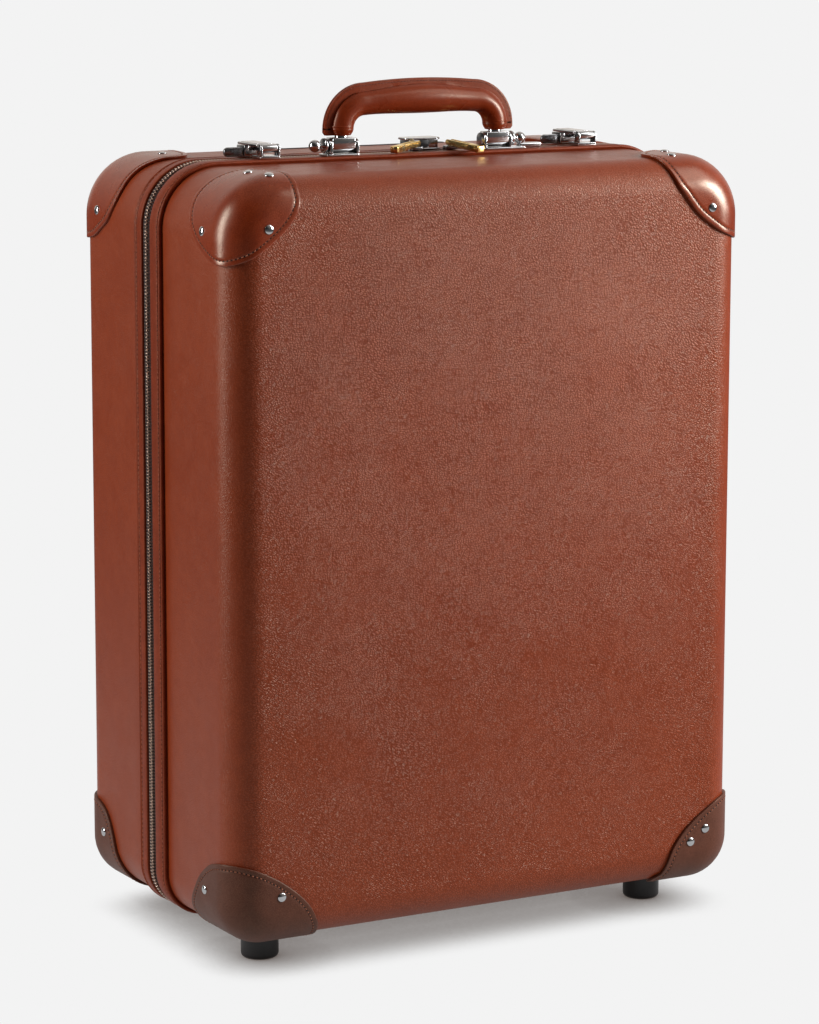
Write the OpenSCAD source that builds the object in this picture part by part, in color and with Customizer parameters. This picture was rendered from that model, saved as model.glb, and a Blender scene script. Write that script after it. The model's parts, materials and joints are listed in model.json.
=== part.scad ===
// Upright carry-on suitcase in two leather-covered halves that open at a bottom hinge.
// Millimetres. X to the right, the front faces -Y, Z up from the floor.
// The origin is on the floor, under the middle of the case.

/* [Case] */
// Width over the leather, without corner caps
case_w = 410; // [384:1:440]
// Depth over the leather, front to back
case_d = 242; // [220:1:270]
// Height of the body alone, without the feet
case_h = 527; // [480:1:560]
// Free height under the body
foot_h = 23; // [20:1:30]
// Radius of the two upper corners, seen from the front
corner_r = 42; // [36:1:58]
// Radius of the two lower corners, seen from the front
low_corner_r = 30; // [29:1:42]
// Radius of the rounded edge round the front and the back
edge_r = 24; // [20:1:28]
// How far the opening line stands behind the middle of the depth
joint_y = 4; // [0:0.5:8]
// Gap between the closed rims
rim_gap = 0.4; // [0.2:0.1:1]

/* [Walls] */
// Thickness of the leather skin
leather_t = 1.6; // [1.2:0.1:2]
// Thickness of the fibreboard shell
board_t = 2.4; // [2:0.1:3.2]
// Thickness of the fabric lining
lining_t = 0.8; // [0.5:0.1:1.2]

/* [Rim] */
// Height of the raised leather welt above the skin
welt_t = 3.2; // [2:0.1:4]
// Width of the welt on the lid
lid_welt_w = 15.3; // [13:0.1:17]
// Width of the welt on the back half
back_welt_w = 11.8; // [10:0.1:15]
// Distance from the opening line to each welt
welt_gap = 6.7; // [6:0.1:8]
// Thickness of the zip tape
tape_t = 1; // [0.8:0.1:1.2]
// Height of the row of teeth above the tape
teeth_t = 1.8; // [1.2:0.1:2]
// Width of one row of teeth
teeth_w = 2.6; // [2:0.1:3]

/* [Corner caps] */
// Thickness of the leather of a corner cap
cap_t = 2.5; // [1.8:0.1:3]
// Reach of a front cap from the corner, on the front face
lid_cap_r = 56; // [50:1:60]
// How far a front cap runs along the corner before it rounds off
lid_cap_run = 10; // [5:1:24]
// Reach of a back cap from the corner, on the back face
back_cap_r = 60; // [50:1:61]
// Depth of a back cap along the corner
back_cap_d = 45; // [38:1:52]
// Radius of a rivet head
rivet_r = 3.3; // [2.5:0.1:4]
// Height of a rivet head
rivet_h = 1.4; // [1:0.1:2]

/* [Bottom hinge] */
// Length of the hinge under the case
hinge_len = 240; // [160:10:240]
// Number of knuckles along the hinge
knuckles = 12; // [6:2:16]
// Outer radius of a knuckle
knuckle_r = 2.4; // [2:0.1:2.6]
// Radius of the hinge pin
hinge_pin_r = 1; // [0.8:0.1:1.3]
// Thickness of a hinge leaf
leaf_t = 1.2; // [1:0.1:1.5]
// Width of a hinge leaf on the welt
leaf_w = 11; // [9:0.5:11.5]

/* [Feet and wheels] */
// Radius of a rubber foot
foot_r = 13.3; // [11:0.1:15]
// Distance of a foot from the side of the case
foot_side = 46.5; // [45:0.5:60]
// Distance of a foot behind the front face
foot_in = 53.5; // [45:0.5:60]
// Radius of the rounded lower rim of a foot
foot_round = 3; // [1:0.5:4]
// Radius of a wheel
wheel_r = 23; // [20:0.5:23.5]
// Width of a tyre
wheel_w = 20; // [16:0.5:22]
// Radius of the plastic hub inside the tyre
hub_r = 16.5; // [12:0.5:18]
// Radius of a wheel axle
axle_r = 3; // [2.5:0.1:4]
// Distance of a wheel from the side of the case
wheel_side = 79; // [79:0.5:95]
// Distance of the axle from the back face
wheel_in = 27; // [24:0.5:32]
// Free space round a wheel
wheel_gap = 3; // [2:0.5:4]
// Wall of a wheel housing over the wheel
housing_t = 2.5; // [2:0.1:3]
// Thickness of the cheeks that hold the axle
cheek_t = 4; // [3:0.5:5]

/* [Carrying handle] */
// Distance from the middle to the middle of a handle leg
leg_x = 62.4; // [58:0.1:66]
// Radius of a leg of the handle
leg_r = 8.8; // [7.5:0.1:8.8]
// Radius of the grip in its middle
grip_r = 10.8; // [10:0.1:12]
// Height of the grip's middle line above the pivot
grip_h = 31.5; // [29:0.5:40]
// Radius of the bend between leg and grip
bend_r = 18; // [14:0.5:20]
// Height of the sewn fin above the leather tube
fin_h = 5.4; // [3:0.1:7]
// Thickness of the sewn fin
fin_t = 4; // [3:0.1:6]
// Height of the pivot above the welt
pivot_h = 7.3; // [7:0.1:9]
// Radius of the metal end of a leg at the pivot
end_r = 5.6; // [5:0.1:5.8]
// Radius of the pivot pin
pivot_pin_r = 2; // [1.5:0.1:2.5]
// Radius of the ball on the outer end of a pivot pin
ball_r = 4.4; // [3.5:0.1:5]
// Thickness of a bracket's ears
ear_t = 2.2; // [1.8:0.1:3]
// Thickness of a bracket's base plate
plate_t = 1.5; // [1:0.1:1.7]

/* [Latches] */
// Distance from the side of the case to the line where a latch starts
latch_side = 76; // [76:1:85]
// Width of a hasp and its base
hasp_w = 15; // [13:0.5:17]
// Height of the hasp's top above the welt
hasp_h = 10.5; // [10:0.1:12]
// Thickness of the hasp plate
hasp_t = 2; // [1.5:0.1:2.4]
// Radius of the hasp's hinge barrel
barrel_r = 3; // [2.6:0.1:3.2]
// Radius of the hasp's hinge pin
hasp_pin_r = 1.2; // [0.9:0.1:1.4]
// Length of the thumb tab
tab_l = 14; // [11:0.5:15]
// Height of the thumb tab
tab_h = 6.6; // [5:0.1:7]
// Travel of the thumb tab
tab_travel = 5; // [3:0.5:6]

/* [Zip lock] */
// Distance of the lock to the right of the middle
lock_x = 15; // [0:1:18]
// Width of the lock's front
lock_w = 23; // [20:0.5:25]
// Depth of the lock
lock_d = 15; // [12:0.5:17]
// Height of the lock above the welt
lock_h = 8.4; // [7:0.1:10]
// Width of the square release button
button_w = 7; // [5:0.5:8]
// Travel of the release button
button_travel = 1.5; // [1:0.1:2]
// Length of a zip slider
slider_l = 10; // [10:0.5:13]
// Width of a zip slider
slider_w = 7.6; // [6.5:0.1:7.8]
// Length of a zip pull
pull_l = 36; // [28:0.5:38]
// Height of the bar of a zip pull
pull_h = 5; // [4:0.1:5.5]
// Width of the bar of a zip pull
pull_w = 6; // [5:0.1:7]

/* [Tow handle] */
// Distance from the middle to a tow tube
tow_x = 62; // [55:1:66]
// Distance of the tubes from the back face
tow_in = 15.5; // [15:0.1:18]
// Outer radius of the fixed tube
tow_r = 9; // [8.4:0.1:9.4]
// Wall of each tube
tow_t = 0.9; // [0.8:0.1:1.1]
// Gap between one tube and the next
tow_gap = 0.3; // [0.1:0.05:0.4]
// Half the length of the tow grip
tow_grip_half = 76; // [72:1:80]
// Depth of the tow grip, front to back
tow_grip_d = 20; // [18:0.5:20]
// Height of the tow grip
tow_grip_h = 18; // [16:0.5:20]
// Wall of the recess round the tow grip
bezel_t = 2; // [1.6:0.1:2.5]

/* [Packing strap] */
// Width of the packing strap
strap_w = 30; // [20:1:40]
// Thickness of the packing strap
strap_t = 1.6; // [1.2:0.1:2.4]
// Height of the strap above the bottom of the case
strap_z = 265; // [200:5:330]

/* [Hidden] */
$fn = 64;
eps = 0.01;          // overlap of pieces of one solid
over = 1;            // how far a cutter reaches past what it cuts
run = 0.05;          // radial clearance of a turning fit
seat = 0.3;          // gap between pieces that move past each other
fit = 0.1;           // gap round a piece set into a cut-out

leather_color = [0.47, 0.17, 0.10];
cap_color = [0.40, 0.14, 0.08];
chrome_color = [0.80, 0.80, 0.82];
brass_color = [0.83, 0.67, 0.38];
tape_color = [0.16, 0.10, 0.08];
lining_color = [0.72, 0.64, 0.52];
board_color = [0.32, 0.24, 0.17];
black_color = [0.07, 0.07, 0.07];

half_w = case_w / 2;
half_h = case_h / 2;
front_y = -case_d / 2;
back_y = case_d / 2;
mid_z = foot_h + half_h;
top_z = foot_h + case_h;
welt_z = top_z + welt_t;
lid_depth = joint_y - front_y;
back_depth = back_y - joint_y;
foot_x = half_w - foot_side;
wheel_x = half_w - wheel_side;
latch_x = half_w - latch_side;
// Radius of a lower or an upper corner, and the lengths of the straight sides between them
function radius(sy) = sy > 0 ? corner_r : low_corner_r;
function flat_w(sy) = case_w - 2 * radius(sy);
side_h = case_h - corner_r - low_corner_r;
side_mid = (low_corner_r - corner_r) / 2;

// Depths below the outer leather surface
board_out = -leather_t;
lining_out = board_out - board_t;
inside = lining_out - lining_t;

// Places of the two halves. Inside them x is across, y is up from the middle of
// the case and z is the distance from the opening line.
module in_lid() {
    translate([0, joint_y, mid_z]) rotate([90, 0, 0]) children();
}
module in_back() {
    translate([0, joint_y, mid_z]) mirror([0, 1, 0]) rotate([90, 0, 0]) children();
}

// Carries a profile round the case. The profile's x is the distance outwards from the
// leather's surface, and its y is the distance from the opening line.
module round_corner(sx, sy) {
    turn = sx > 0 ? (sy > 0 ? 0 : 270) : (sy > 0 ? 90 : 180);
    r = radius(sy);
    translate([sx * (half_w - r), sy * (half_h - r), 0]) rotate([0, 0, turn])
        rotate_extrude(angle = 90) translate([r, 0]) children();
}
module along_side(turn, distance, length) {
    rotate([0, 0, turn]) translate([distance, 0, 0]) rotate([90, 0, 0])
        linear_extrude(height = length, center = true) children();
}
// The two upright sides and the top, then the bottom with an opening in its middle
module upper_sides() {
    translate([0, side_mid, 0]) {
        along_side(0, half_w, side_h) children();
        along_side(180, half_w, side_h) children();
    }
    along_side(90, half_h, flat_w(1)) children();
}
module bottom_side(opening) {
    stub = (flat_w(-1) - opening) / 2;
    for (s = [-1, 1]) translate([s * (opening + stub) / 2, 0, 0])
        along_side(270, half_h, stub) children();
}
module round_case() {
    for (sx = [-1, 1], sy = [-1, 1]) round_corner(sx, sy) children();
    upper_sides() children();
    along_side(270, half_h, flat_w(-1)) children();
}
module round_case_open(opening) {
    for (sx = [-1, 1], sy = [-1, 1]) round_corner(sx, sy) children();
    upper_sides() children();
    bottom_side(opening) children();
}

// Section of a half, filled for a width "wide" inwards, up to the surface that lies
// "out" beyond the leather
module half_section(depth, out, start, wide) {
    translate([-wide, start]) square([wide + out, depth - edge_r - start]);
    translate([-wide, start]) square([wide - edge_r, depth + out - start]);
    intersection() {
        translate([-edge_r, depth - edge_r]) circle(r = edge_r + out);
        translate([-edge_r, depth - edge_r]) square(edge_r + out);
    }
}
module wall_section(depth, outer, inner, wide) {
    difference() {
        half_section(depth, outer, rim_gap / 2, wide);
        half_section(depth, inner, -over, wide);
    }
}
// One layer of a half, between two surfaces
module layer(depth, outer, inner) {
    for (sx = [-1, 1], sy = [-1, 1]) round_corner(sx, sy)
        wall_section(depth, outer, inner, radius(sy));
    upper_sides() wall_section(depth, outer, inner, low_corner_r);
    along_side(270, half_h, flat_w(-1)) wall_section(depth, outer, inner, low_corner_r);
    translate([0, 0, depth + inner]) linear_extrude(height = outer - inner) {
        translate([-flat_w(-1) / 2, low_corner_r - half_h]) square([flat_w(-1), side_h]);
        translate([-flat_w(1) / 2, half_h - corner_r]) square([flat_w(1), corner_r - low_corner_r]);
    }
}

// A leather patch over one corner of a half: the part of a layer over the skin
// that a round cutter keeps. The cutter's axis is the corner line of the outline.
module corner_cap(depth, sx, sy, start) {
    r = radius(sy);
    stub = max(lid_cap_r, back_cap_r) + over - r;
    intersection() {
        union() {
            round_corner(sx, sy) cap_section(depth, start, r);
            translate([0, sy * (half_h - r - stub / 2), 0])
                along_side(sx > 0 ? 0 : 180, half_w, stub) cap_section(depth, start, r);
            translate([sx * (half_w - r - stub / 2), 0, 0])
                along_side(sy > 0 ? 90 : 270, half_h, stub) cap_section(depth, start, r);
            translate([sx * (half_w - r - stub / 2), sy * (half_h - r - stub / 2), depth + cap_t / 2])
                cube([stub, stub, cap_t], center = true);
        }
        translate([sx * half_w, sy * half_h, depth]) children();
    }
}
module cap_section(depth, start, wide) {
    difference() {
        half_section(depth, cap_t, start, wide);
        half_section(depth, 0, start - over, wide);
    }
}
module lid_cap_cutter() {
    rotate_extrude() {
        translate([0, -lid_cap_run]) square([lid_cap_r, lid_cap_run + 2 * cap_t]);
        intersection() {
            translate([0, -lid_cap_run]) circle(r = lid_cap_r);
            translate([0, -lid_cap_run - lid_cap_r]) square(lid_cap_r);
        }
    }
}
module back_cap_cutter() {
    rotate_extrude() {
        square([back_cap_r, 2 * cap_t]);
        intersection() {
            circle(r = back_cap_r);
            translate([0, -back_cap_d]) square([back_cap_r, back_cap_d]);
        }
    }
}

// Section of the body across its depth, used for pieces let into its rounded back edges
module depth_section(out) {
    translate([front_y - out, foot_h + edge_r]) square([case_d + 2 * out, case_h - 2 * edge_r]);
    translate([front_y + edge_r, foot_h - out]) square([case_d - 2 * edge_r, case_h + 2 * out]);
    for (y = [front_y + edge_r, back_y - edge_r], z = [foot_h + edge_r, top_z - edge_r])
        translate([y, z]) circle(r = edge_r + out);
}
// Turns a section drawn in y and z into a solid from x1 to x2
module across(x1, x2) {
    translate([x1, 0, 0]) rotate([90, 0, 90]) linear_extrude(height = x2 - x1) children();
}
module block(x, y, z) {
    translate([x[0], y[0], z[0]]) cube([x[1] - x[0], y[1] - y[0], z[1] - z[0]]);
}
module rod_x(r, x1, x2) {
    translate([x1, 0, 0]) rotate([0, 90, 0]) cylinder(r = r, h = x2 - x1);
}

// Shells, skins and linings
module back_cuts() {
    for (s = [-1, 1]) housing_cut(s);
    bezel_cut();
}
module back_board() {
    color(board_color) difference() {
        in_back() layer(back_depth, board_out, lining_out);
        back_cuts();
    }
}
module back_leather() {
    color(leather_color) difference() {
        in_back() layer(back_depth, 0, board_out);
        back_cuts();
    }
}
module back_lining() {
    color(lining_color) difference() {
        in_back() layer(back_depth, lining_out, inside);
        back_cuts();
    }
}
module lid_board() {
    color(board_color) in_lid() layer(lid_depth, board_out, lining_out);
}
module lid_leather() {
    color(leather_color) in_lid() layer(lid_depth, 0, board_out);
}
module lid_lining() {
    color(lining_color) in_lid() layer(lid_depth, lining_out, inside);
}

// Raised welt round each half, and the zip between the two welts
welt_round = 1.2;
module welt_section(width) {
    translate([0, welt_gap]) {
        square([welt_t - welt_round, width]);
        translate([0, welt_round]) square([welt_t, width - 2 * welt_round]);
        for (v = [welt_round, width - welt_round])
            translate([welt_t - welt_round, v]) circle(r = welt_round);
    }
}
zip_stop = 2;                // gap between the hinge and the zip
zip_opening = hinge_len + 2 * zip_stop;
module tape_section() {
    translate([0, rim_gap / 2]) square([tape_t, welt_gap - rim_gap / 2]);
}
module teeth_section() {
    translate([tape_t, rim_gap / 2]) square([teeth_t, teeth_w]);
}
module back_welt() {
    color(leather_color) in_back() round_case() welt_section(back_welt_w);
}
module lid_welt() {
    color(leather_color) in_lid() round_case() welt_section(lid_welt_w);
}
module back_zip_tape() {
    color(tape_color) in_back() round_case_open(zip_opening) tape_section();
}
module lid_zip_tape() {
    color(tape_color) in_lid() round_case_open(zip_opening) tape_section();
}
module back_zip_teeth() {
    color(brass_color) in_back() round_case_open(zip_opening) teeth_section();
}
module lid_zip_teeth() {
    color(brass_color) in_lid() round_case_open(zip_opening) teeth_section();
}

// Corner caps. The caps under the lid are cut back round the feet.
foot_y = front_y + foot_in;
module lid_cap(sx, sy) {
    color(cap_color) difference() {
        in_lid() corner_cap(lid_depth, sx, sy, lid_depth - lid_cap_run - lid_cap_r)
            lid_cap_cutter();
        translate([sx * foot_x, foot_y, 0]) cylinder(r = foot_r + seat, h = foot_h + over);
    }
}
module back_cap(sx, sy) {
    color(cap_color) in_back() corner_cap(back_depth, sx, sy, back_depth - back_cap_d - over)
        back_cap_cutter();
}
module back_cap_top_left() { back_cap(-1, 1); }
module back_cap_top_right() { back_cap(1, 1); }
module back_cap_bottom_left() { back_cap(-1, -1); }
module back_cap_bottom_right() { back_cap(1, -1); }
module lid_cap_top_left() { lid_cap(-1, 1); }
module lid_cap_top_right() { lid_cap(1, 1); }
module lid_cap_bottom_left() { lid_cap(-1, -1); }
module lid_cap_bottom_right() { lid_cap(1, -1); }

// Domed rivet head that stands on the plane z = 0
module rivet() {
    dome_r = (rivet_r * rivet_r + rivet_h * rivet_h) / (2 * rivet_h);
    rotate_extrude() intersection() {
        translate([0, rivet_h - dome_r]) circle(r = dome_r);
        square([rivet_r, rivet_h]);
    }
}
// A rivet on the rounded outline of a corner, "angle" up from the side
module arc_rivet(sx, sy, angle, y) {
    r = radius(sy);
    translate([sx * (half_w - r), y, mid_z + sy * (half_h - r)]) rotate([0, -sy * angle, 0])
        mirror([sx < 0 ? 1 : 0, 0, 0]) rotate([0, sx < 0 ? -2 * sy * angle : 0, 0])
            translate([r + cap_t, 0, 0]) rotate([0, 90, 0]) rivet();
}
// A rivet on the front or the back face, measured in from the side and from the end
module face_rivet(sx, sy, place, face) {
    translate([sx * (half_w - place[0]), face * (case_d / 2 + cap_t), mid_z + sy * (half_h - place[1])])
        rotate([face < 0 ? 90 : -90, 0, 0]) rivet();
}
side_rivet_angle = 6;        // height of a side rivet on the corner's arc
low_rivet_angle = 6;         // the same on the lower caps
top_rivet_angle = 84;        // a top rivet, on the arc's upper end
top_rivet_in = [29, 35];     // a rivet on a face, in from the side and the end
low_rivet_left = [[36, 35]];
low_rivet_right = [[28, 39], [40, 31]];
low_rivet_back = [36, 35];
side_rivet_d = 38;           // depth of a rivet behind the front face
top_rivet_d = [edge_r + 1, 40];
low_rivet_d = 41;
back_side_rivet_d = 36;      // depth of a rivet before the back face
back_top_rivet_d = 47;
module lid_cap_rivets() {
    color(chrome_color) for (sx = [-1, 1]) {
        face_rivet(sx, 1, top_rivet_in, -1);
        arc_rivet(sx, 1, side_rivet_angle, front_y + side_rivet_d);
        for (d = top_rivet_d) arc_rivet(sx, 1, top_rivet_angle, front_y + d);
        for (place = sx < 0 ? low_rivet_left : low_rivet_right) face_rivet(sx, -1, place, -1);
        arc_rivet(sx, -1, low_rivet_angle, front_y + low_rivet_d);
    }
}
module back_cap_rivets() {
    color(chrome_color) for (sx = [-1, 1]) {
        face_rivet(sx, 1, top_rivet_in, 1);
        arc_rivet(sx, 1, side_rivet_angle, back_y - back_side_rivet_d);
        arc_rivet(sx, 1, top_rivet_angle, back_y - back_top_rivet_d);
        face_rivet(sx, -1, low_rivet_back, 1);
        arc_rivet(sx, -1, low_rivet_angle, back_y - back_side_rivet_d);
    }
}

// Hinge under the case, in the gap between the two welts
hinge_z = foot_h - welt_t - leaf_t / 2;
knuckle_l = hinge_len / knuckles;
leaf_start = knuckle_r + seat;
module hinge_leaf(side, first) {
    difference() {
        union() {
            leaf_y = [joint_y + side * leaf_start, joint_y + side * (welt_gap + leaf_w)];
            block([-hinge_len / 2, hinge_len / 2], [min(leaf_y), max(leaf_y)],
                [hinge_z - leaf_t / 2, hinge_z + leaf_t / 2]);
            for (i = [first:2:knuckles - 1]) {
                x1 = -hinge_len / 2 + i * knuckle_l + seat / 2;
                x2 = x1 + knuckle_l - seat;
                arm_y = [joint_y, joint_y + side * (leaf_start + eps)];
                block([x1, x2], [min(arm_y), max(arm_y)],
                    [hinge_z - leaf_t / 2, hinge_z + leaf_t / 2]);
                translate([0, joint_y, hinge_z]) rod_x(knuckle_r, x1, x2);
            }
        }
        translate([0, joint_y, hinge_z]) rod_x(hinge_pin_r + run, -hinge_len, hinge_len);
    }
}
module hinge_leaf_back() { color(brass_color) hinge_leaf(1, 0); }
module hinge_leaf_front() { color(brass_color) hinge_leaf(-1, 1); }
module hinge_pin() {
    color(chrome_color) translate([0, joint_y, hinge_z])
        rod_x(hinge_pin_r, -hinge_len / 2, hinge_len / 2);
}

// Rubber feet under the lid
module lid_foot(s) {
    color(black_color) translate([s * foot_x, foot_y, 0]) rotate_extrude() {
        square([foot_r - foot_round, foot_h]);
        translate([0, foot_round]) square([foot_r, foot_h - foot_round]);
        intersection() {
            translate([foot_r - foot_round, foot_round]) circle(r = foot_round);
            square([foot_r, foot_round]);
        }
    }
}
module lid_foot_left() { lid_foot(-1); }
module lid_foot_right() { lid_foot(1); }

// Wheels and their housings
wheel_y = back_y - wheel_in;
housing_half = wheel_w / 2 + wheel_gap + cheek_t;
housing_y = wheel_y - wheel_r - wheel_gap - housing_t;
housing_z = wheel_r * 2 + wheel_gap + housing_t;
housing_proud = 1.2;
module housing_cut(s) {
    reach = housing_half + fit;
    block([s * wheel_x - reach, s * wheel_x + reach], [housing_y - fit, back_y + 2 * cap_t],
        [foot_h - 2 * cap_t, housing_z + fit]);
}
module wheel_housing(s) {
    color(black_color) difference() {
        across(s * wheel_x - housing_half, s * wheel_x + housing_half) intersection() {
            depth_section(housing_proud);
            translate([housing_y, foot_h - housing_proud])
                square([back_y + housing_proud - housing_y, housing_z - foot_h + housing_proud]);
        }
        translate([s * wheel_x, wheel_y, wheel_r])
            rod_x(wheel_r + wheel_gap, -wheel_w / 2 - wheel_gap, wheel_w / 2 + wheel_gap);
        translate([s * wheel_x, wheel_y, wheel_r])
            rod_x(axle_r + run, -housing_half - over, housing_half + over);
    }
}
module wheel_housing_left() { wheel_housing(-1); }
module wheel_housing_right() { wheel_housing(1); }
tyre_round = 4;
module wheel_tyre(s) {
    color(black_color) translate([s * wheel_x, wheel_y, wheel_r]) rotate([0, 90, 0])
        rotate_extrude() difference() {
            union() {
                translate([0, -wheel_w / 2]) square([wheel_r - tyre_round, wheel_w]);
                translate([0, -wheel_w / 2 + tyre_round])
                    square([wheel_r, wheel_w - 2 * tyre_round]);
                for (v = [-1, 1]) intersection() {
                    translate([wheel_r - tyre_round, v * (wheel_w / 2 - tyre_round)])
                        circle(r = tyre_round);
                    translate([wheel_r - tyre_round, v > 0 ? wheel_w / 2 - tyre_round : -wheel_w / 2])
                        square(tyre_round);
                }
            }
            translate([-over, -wheel_w]) square([hub_r + over, 2 * wheel_w]);
        }
}
module wheel_tyre_left() { wheel_tyre(-1); }
module wheel_tyre_right() { wheel_tyre(1); }
boss_r = 6;
hub_in = 1;                  // the hub lies this far inside the tyre's sides
axle_in = 1;                 // and the axle inside the housing's
module wheel_hub(s) {
    color([0.25, 0.25, 0.26]) translate([s * wheel_x, wheel_y, wheel_r]) difference() {
        union() {
            rod_x(hub_r, -wheel_w / 2 + hub_in, wheel_w / 2 - hub_in);
            rod_x(boss_r, -wheel_w / 2 - wheel_gap + seat, wheel_w / 2 + wheel_gap - seat);
        }
        rod_x(axle_r + run, -wheel_w, wheel_w);
    }
}
module wheel_hub_left() { wheel_hub(-1); }
module wheel_hub_right() { wheel_hub(1); }
module wheel_axles() {
    color(chrome_color) for (s = [-1, 1]) translate([s * wheel_x, wheel_y, wheel_r])
        rod_x(axle_r, -housing_half + axle_in, housing_half - axle_in);
}

// Carrying handle on the lid's welt
lid_welt_front = joint_y - welt_gap - lid_welt_w;
handle_y = joint_y - welt_gap - lid_welt_w / 2;
pivot_z = welt_z + pivot_h;
grip_z = pivot_z + grip_h;
end_half = 9;                // half the width of a metal handle end
end_top = 5.5;               // height of its flat top above the pivot
leg_start = 7;               // where the leather of a leg begins above the pivot
leg_full = 12;               // where the leg has its full radius
ferrule_step = 1;            // the metal neck's radius is this much less than its barrel's
neck_step = 2.2;             // and the leather's narrow end is this much less than the leg's
fin_root = 2;                // depth of the fin inside the leather tube
collar_r = 5.4;
collar_gap = 1;              // gap between an ear and the collar on its pin
collar_w = 2;
ball_reach = 9.3;            // from an ear's outer face to the middle of the ball
bracket_edge = 0.4;          // the base plate's distance from the welt's edges
left_tail = 3;               // length of the base plate beyond the outer ear
right_tail = 11;
wing_l = 18;                 // the narrow end of the right base plate
wing_w = 6;
wing_h = 3.4;
ear_r = 6;
bracket_half = end_half + seat + ear_t;
module handle_bracket(s) {
    base_d = lid_welt_w - 2 * bracket_edge;
    tail = s > 0 ? right_tail : left_tail;
    color(chrome_color) translate([s * leg_x, handle_y, 0]) mirror([s < 0 ? 1 : 0, 0, 0]) {
        block([-bracket_half, bracket_half + tail], [-base_d / 2, base_d / 2],
            [welt_z, welt_z + plate_t]);
        for (x = [-bracket_half, bracket_half - ear_t]) {
            translate([x, 0, pivot_z]) rod_x(ear_r, 0, ear_t);
            block([x, x + ear_t], [-ear_r, ear_r], [welt_z + plate_t - eps, pivot_z]);
        }
        translate([0, 0, pivot_z]) {
            rod_x(pivot_pin_r, -bracket_half + eps, bracket_half + ball_reach);
            rod_x(collar_r, bracket_half + collar_gap, bracket_half + collar_gap + collar_w);
            translate([bracket_half + ball_reach, 0, 0]) sphere(r = ball_r);
        }
        if (s > 0) block([bracket_half + tail - eps, bracket_half + tail + wing_l],
            [base_d / 2 - wing_w, base_d / 2], [welt_z, welt_z + wing_h]);
    }
}
module handle_bracket_left() { handle_bracket(-1); }
module handle_bracket_right() { handle_bracket(1); }
module handle_ends() {
    color(chrome_color) for (s = [-1, 1]) translate([s * leg_x, handle_y, pivot_z]) difference() {
        union() {
            rod_x(end_r, -end_half, end_half);
            block([-end_half, end_half], [-end_r, end_r], [0, end_top]);
            cylinder(r = end_r - ferrule_step, h = leg_start);
        }
        rod_x(pivot_pin_r + run, -leg_x, leg_x);
    }
}
module handle_grip() {
    straight = leg_x - bend_r;
    bend_z = grip_z - bend_r;
    neck_r = leg_r - neck_step;
    swell = grip_r - leg_r;
    swell_r = (straight * straight + swell * swell) / (2 * swell);
    color(leather_color) translate([0, handle_y, 0]) {
        for (s = [-1, 1]) mirror([s < 0 ? 1 : 0, 0, 0]) {
            translate([leg_x, 0, pivot_z + leg_start])
                cylinder(r1 = neck_r, r2 = leg_r, h = leg_full - leg_start);
            translate([leg_x, 0, pivot_z + leg_full])
                cylinder(r = leg_r, h = bend_z - pivot_z - leg_full);
            translate([straight, 0, bend_z]) rotate([90, 0, 0]) rotate_extrude(angle = 90)
                translate([bend_r, 0]) circle(r = leg_r);
            // sewn fin on the outside of the leg and of the bend
            block([leg_x + leg_r - fin_root, leg_x + leg_r + fin_h], [-fin_t / 2, fin_t / 2],
                [pivot_z + leg_start, bend_z]);
            translate([straight, 0, bend_z]) rotate([90, 0, 0]) rotate_extrude(angle = 90)
                translate([bend_r + leg_r - fin_root, -fin_t / 2]) square([fin_h + fin_root, fin_t]);
        }
        rotate([0, 90, 0]) translate([-grip_z, 0, 0]) rotate_extrude() intersection() {
            translate([grip_r - swell_r, 0]) circle(r = swell_r, $fn = 900);
            translate([0, -straight]) square([grip_r, 2 * straight]);
        }
        block([-straight, straight], [-fin_t / 2, fin_t / 2],
            [grip_z + leg_r - fin_root, grip_z + leg_r + fin_h]);
    }
}

// Latches. Each hasp turns on a base on the lid's welt and covers the lock on the back welt.
hasp_edge = 0.5;             // a base's distance from the welt's edges
hasp_y = lid_welt_front + barrel_r + hasp_edge;
hasp_z = welt_z + hasp_h - barrel_r;
hasp_base_t = 2.4;
hasp_ear_t = 1.5;
hasp_gap = 0.4;              // gap between a hasp and what it turns past
barrel_gap = 0.2;            // gap between a barrel and its ears
hasp_root = 1;               // the plate's narrow part past the barrel
hasp_short = 2;              // a hasp ends this far before the welt's far edge
hasp_end = joint_y + welt_gap + back_welt_w - hasp_short;
lock_y = joint_y + 3.4;
lock_top = welt_z + hasp_h - hasp_t - hasp_gap;
tongue_w = 7;
tongue_t = 2.4;
tongue_h = 3;
tongue_y = joint_y + 10;
channel_gap = 0.5;           // room at the sides of the tongue
channel_end = 1.2;           // room behind it
channel_d = tongue_h + hasp_gap / 2;
neck_gap = 0.2;              // room round the slide's neck
neck_y = [joint_y + 8, joint_y + 12];
neck_z = [welt_z + 1.7, welt_z + 4.1];
neck_start = 4;              // length of the neck outside the lock
neck_end = hasp_w - tab_travel + over;
tab_t = 2.6;
tab_lift = 0.4;              // gap between the thumb tab and the welt
tab_gap = 1;                 // gap between the tab and the lock
module hasp_base(s) {
    x0 = s * latch_x;
    block([x0, x0 + hasp_w], [lid_welt_front + hasp_edge, joint_y - welt_gap - hasp_edge],
        [welt_z, welt_z + hasp_base_t]);
    for (x = [x0, x0 + hasp_w - hasp_ear_t]) {
        translate([0, hasp_y, hasp_z]) rod_x(barrel_r, x, x + hasp_ear_t);
        block([x, x + hasp_ear_t], [hasp_y - barrel_r, hasp_y + barrel_r],
            [welt_z + hasp_base_t - eps, hasp_z]);
    }
    translate([0, hasp_y, hasp_z]) rod_x(hasp_pin_r, x0 + eps, x0 + hasp_w - eps);
}
module hasp_bases() {
    color(chrome_color) for (s = [-1, 1]) hasp_base(s);
}
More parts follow.
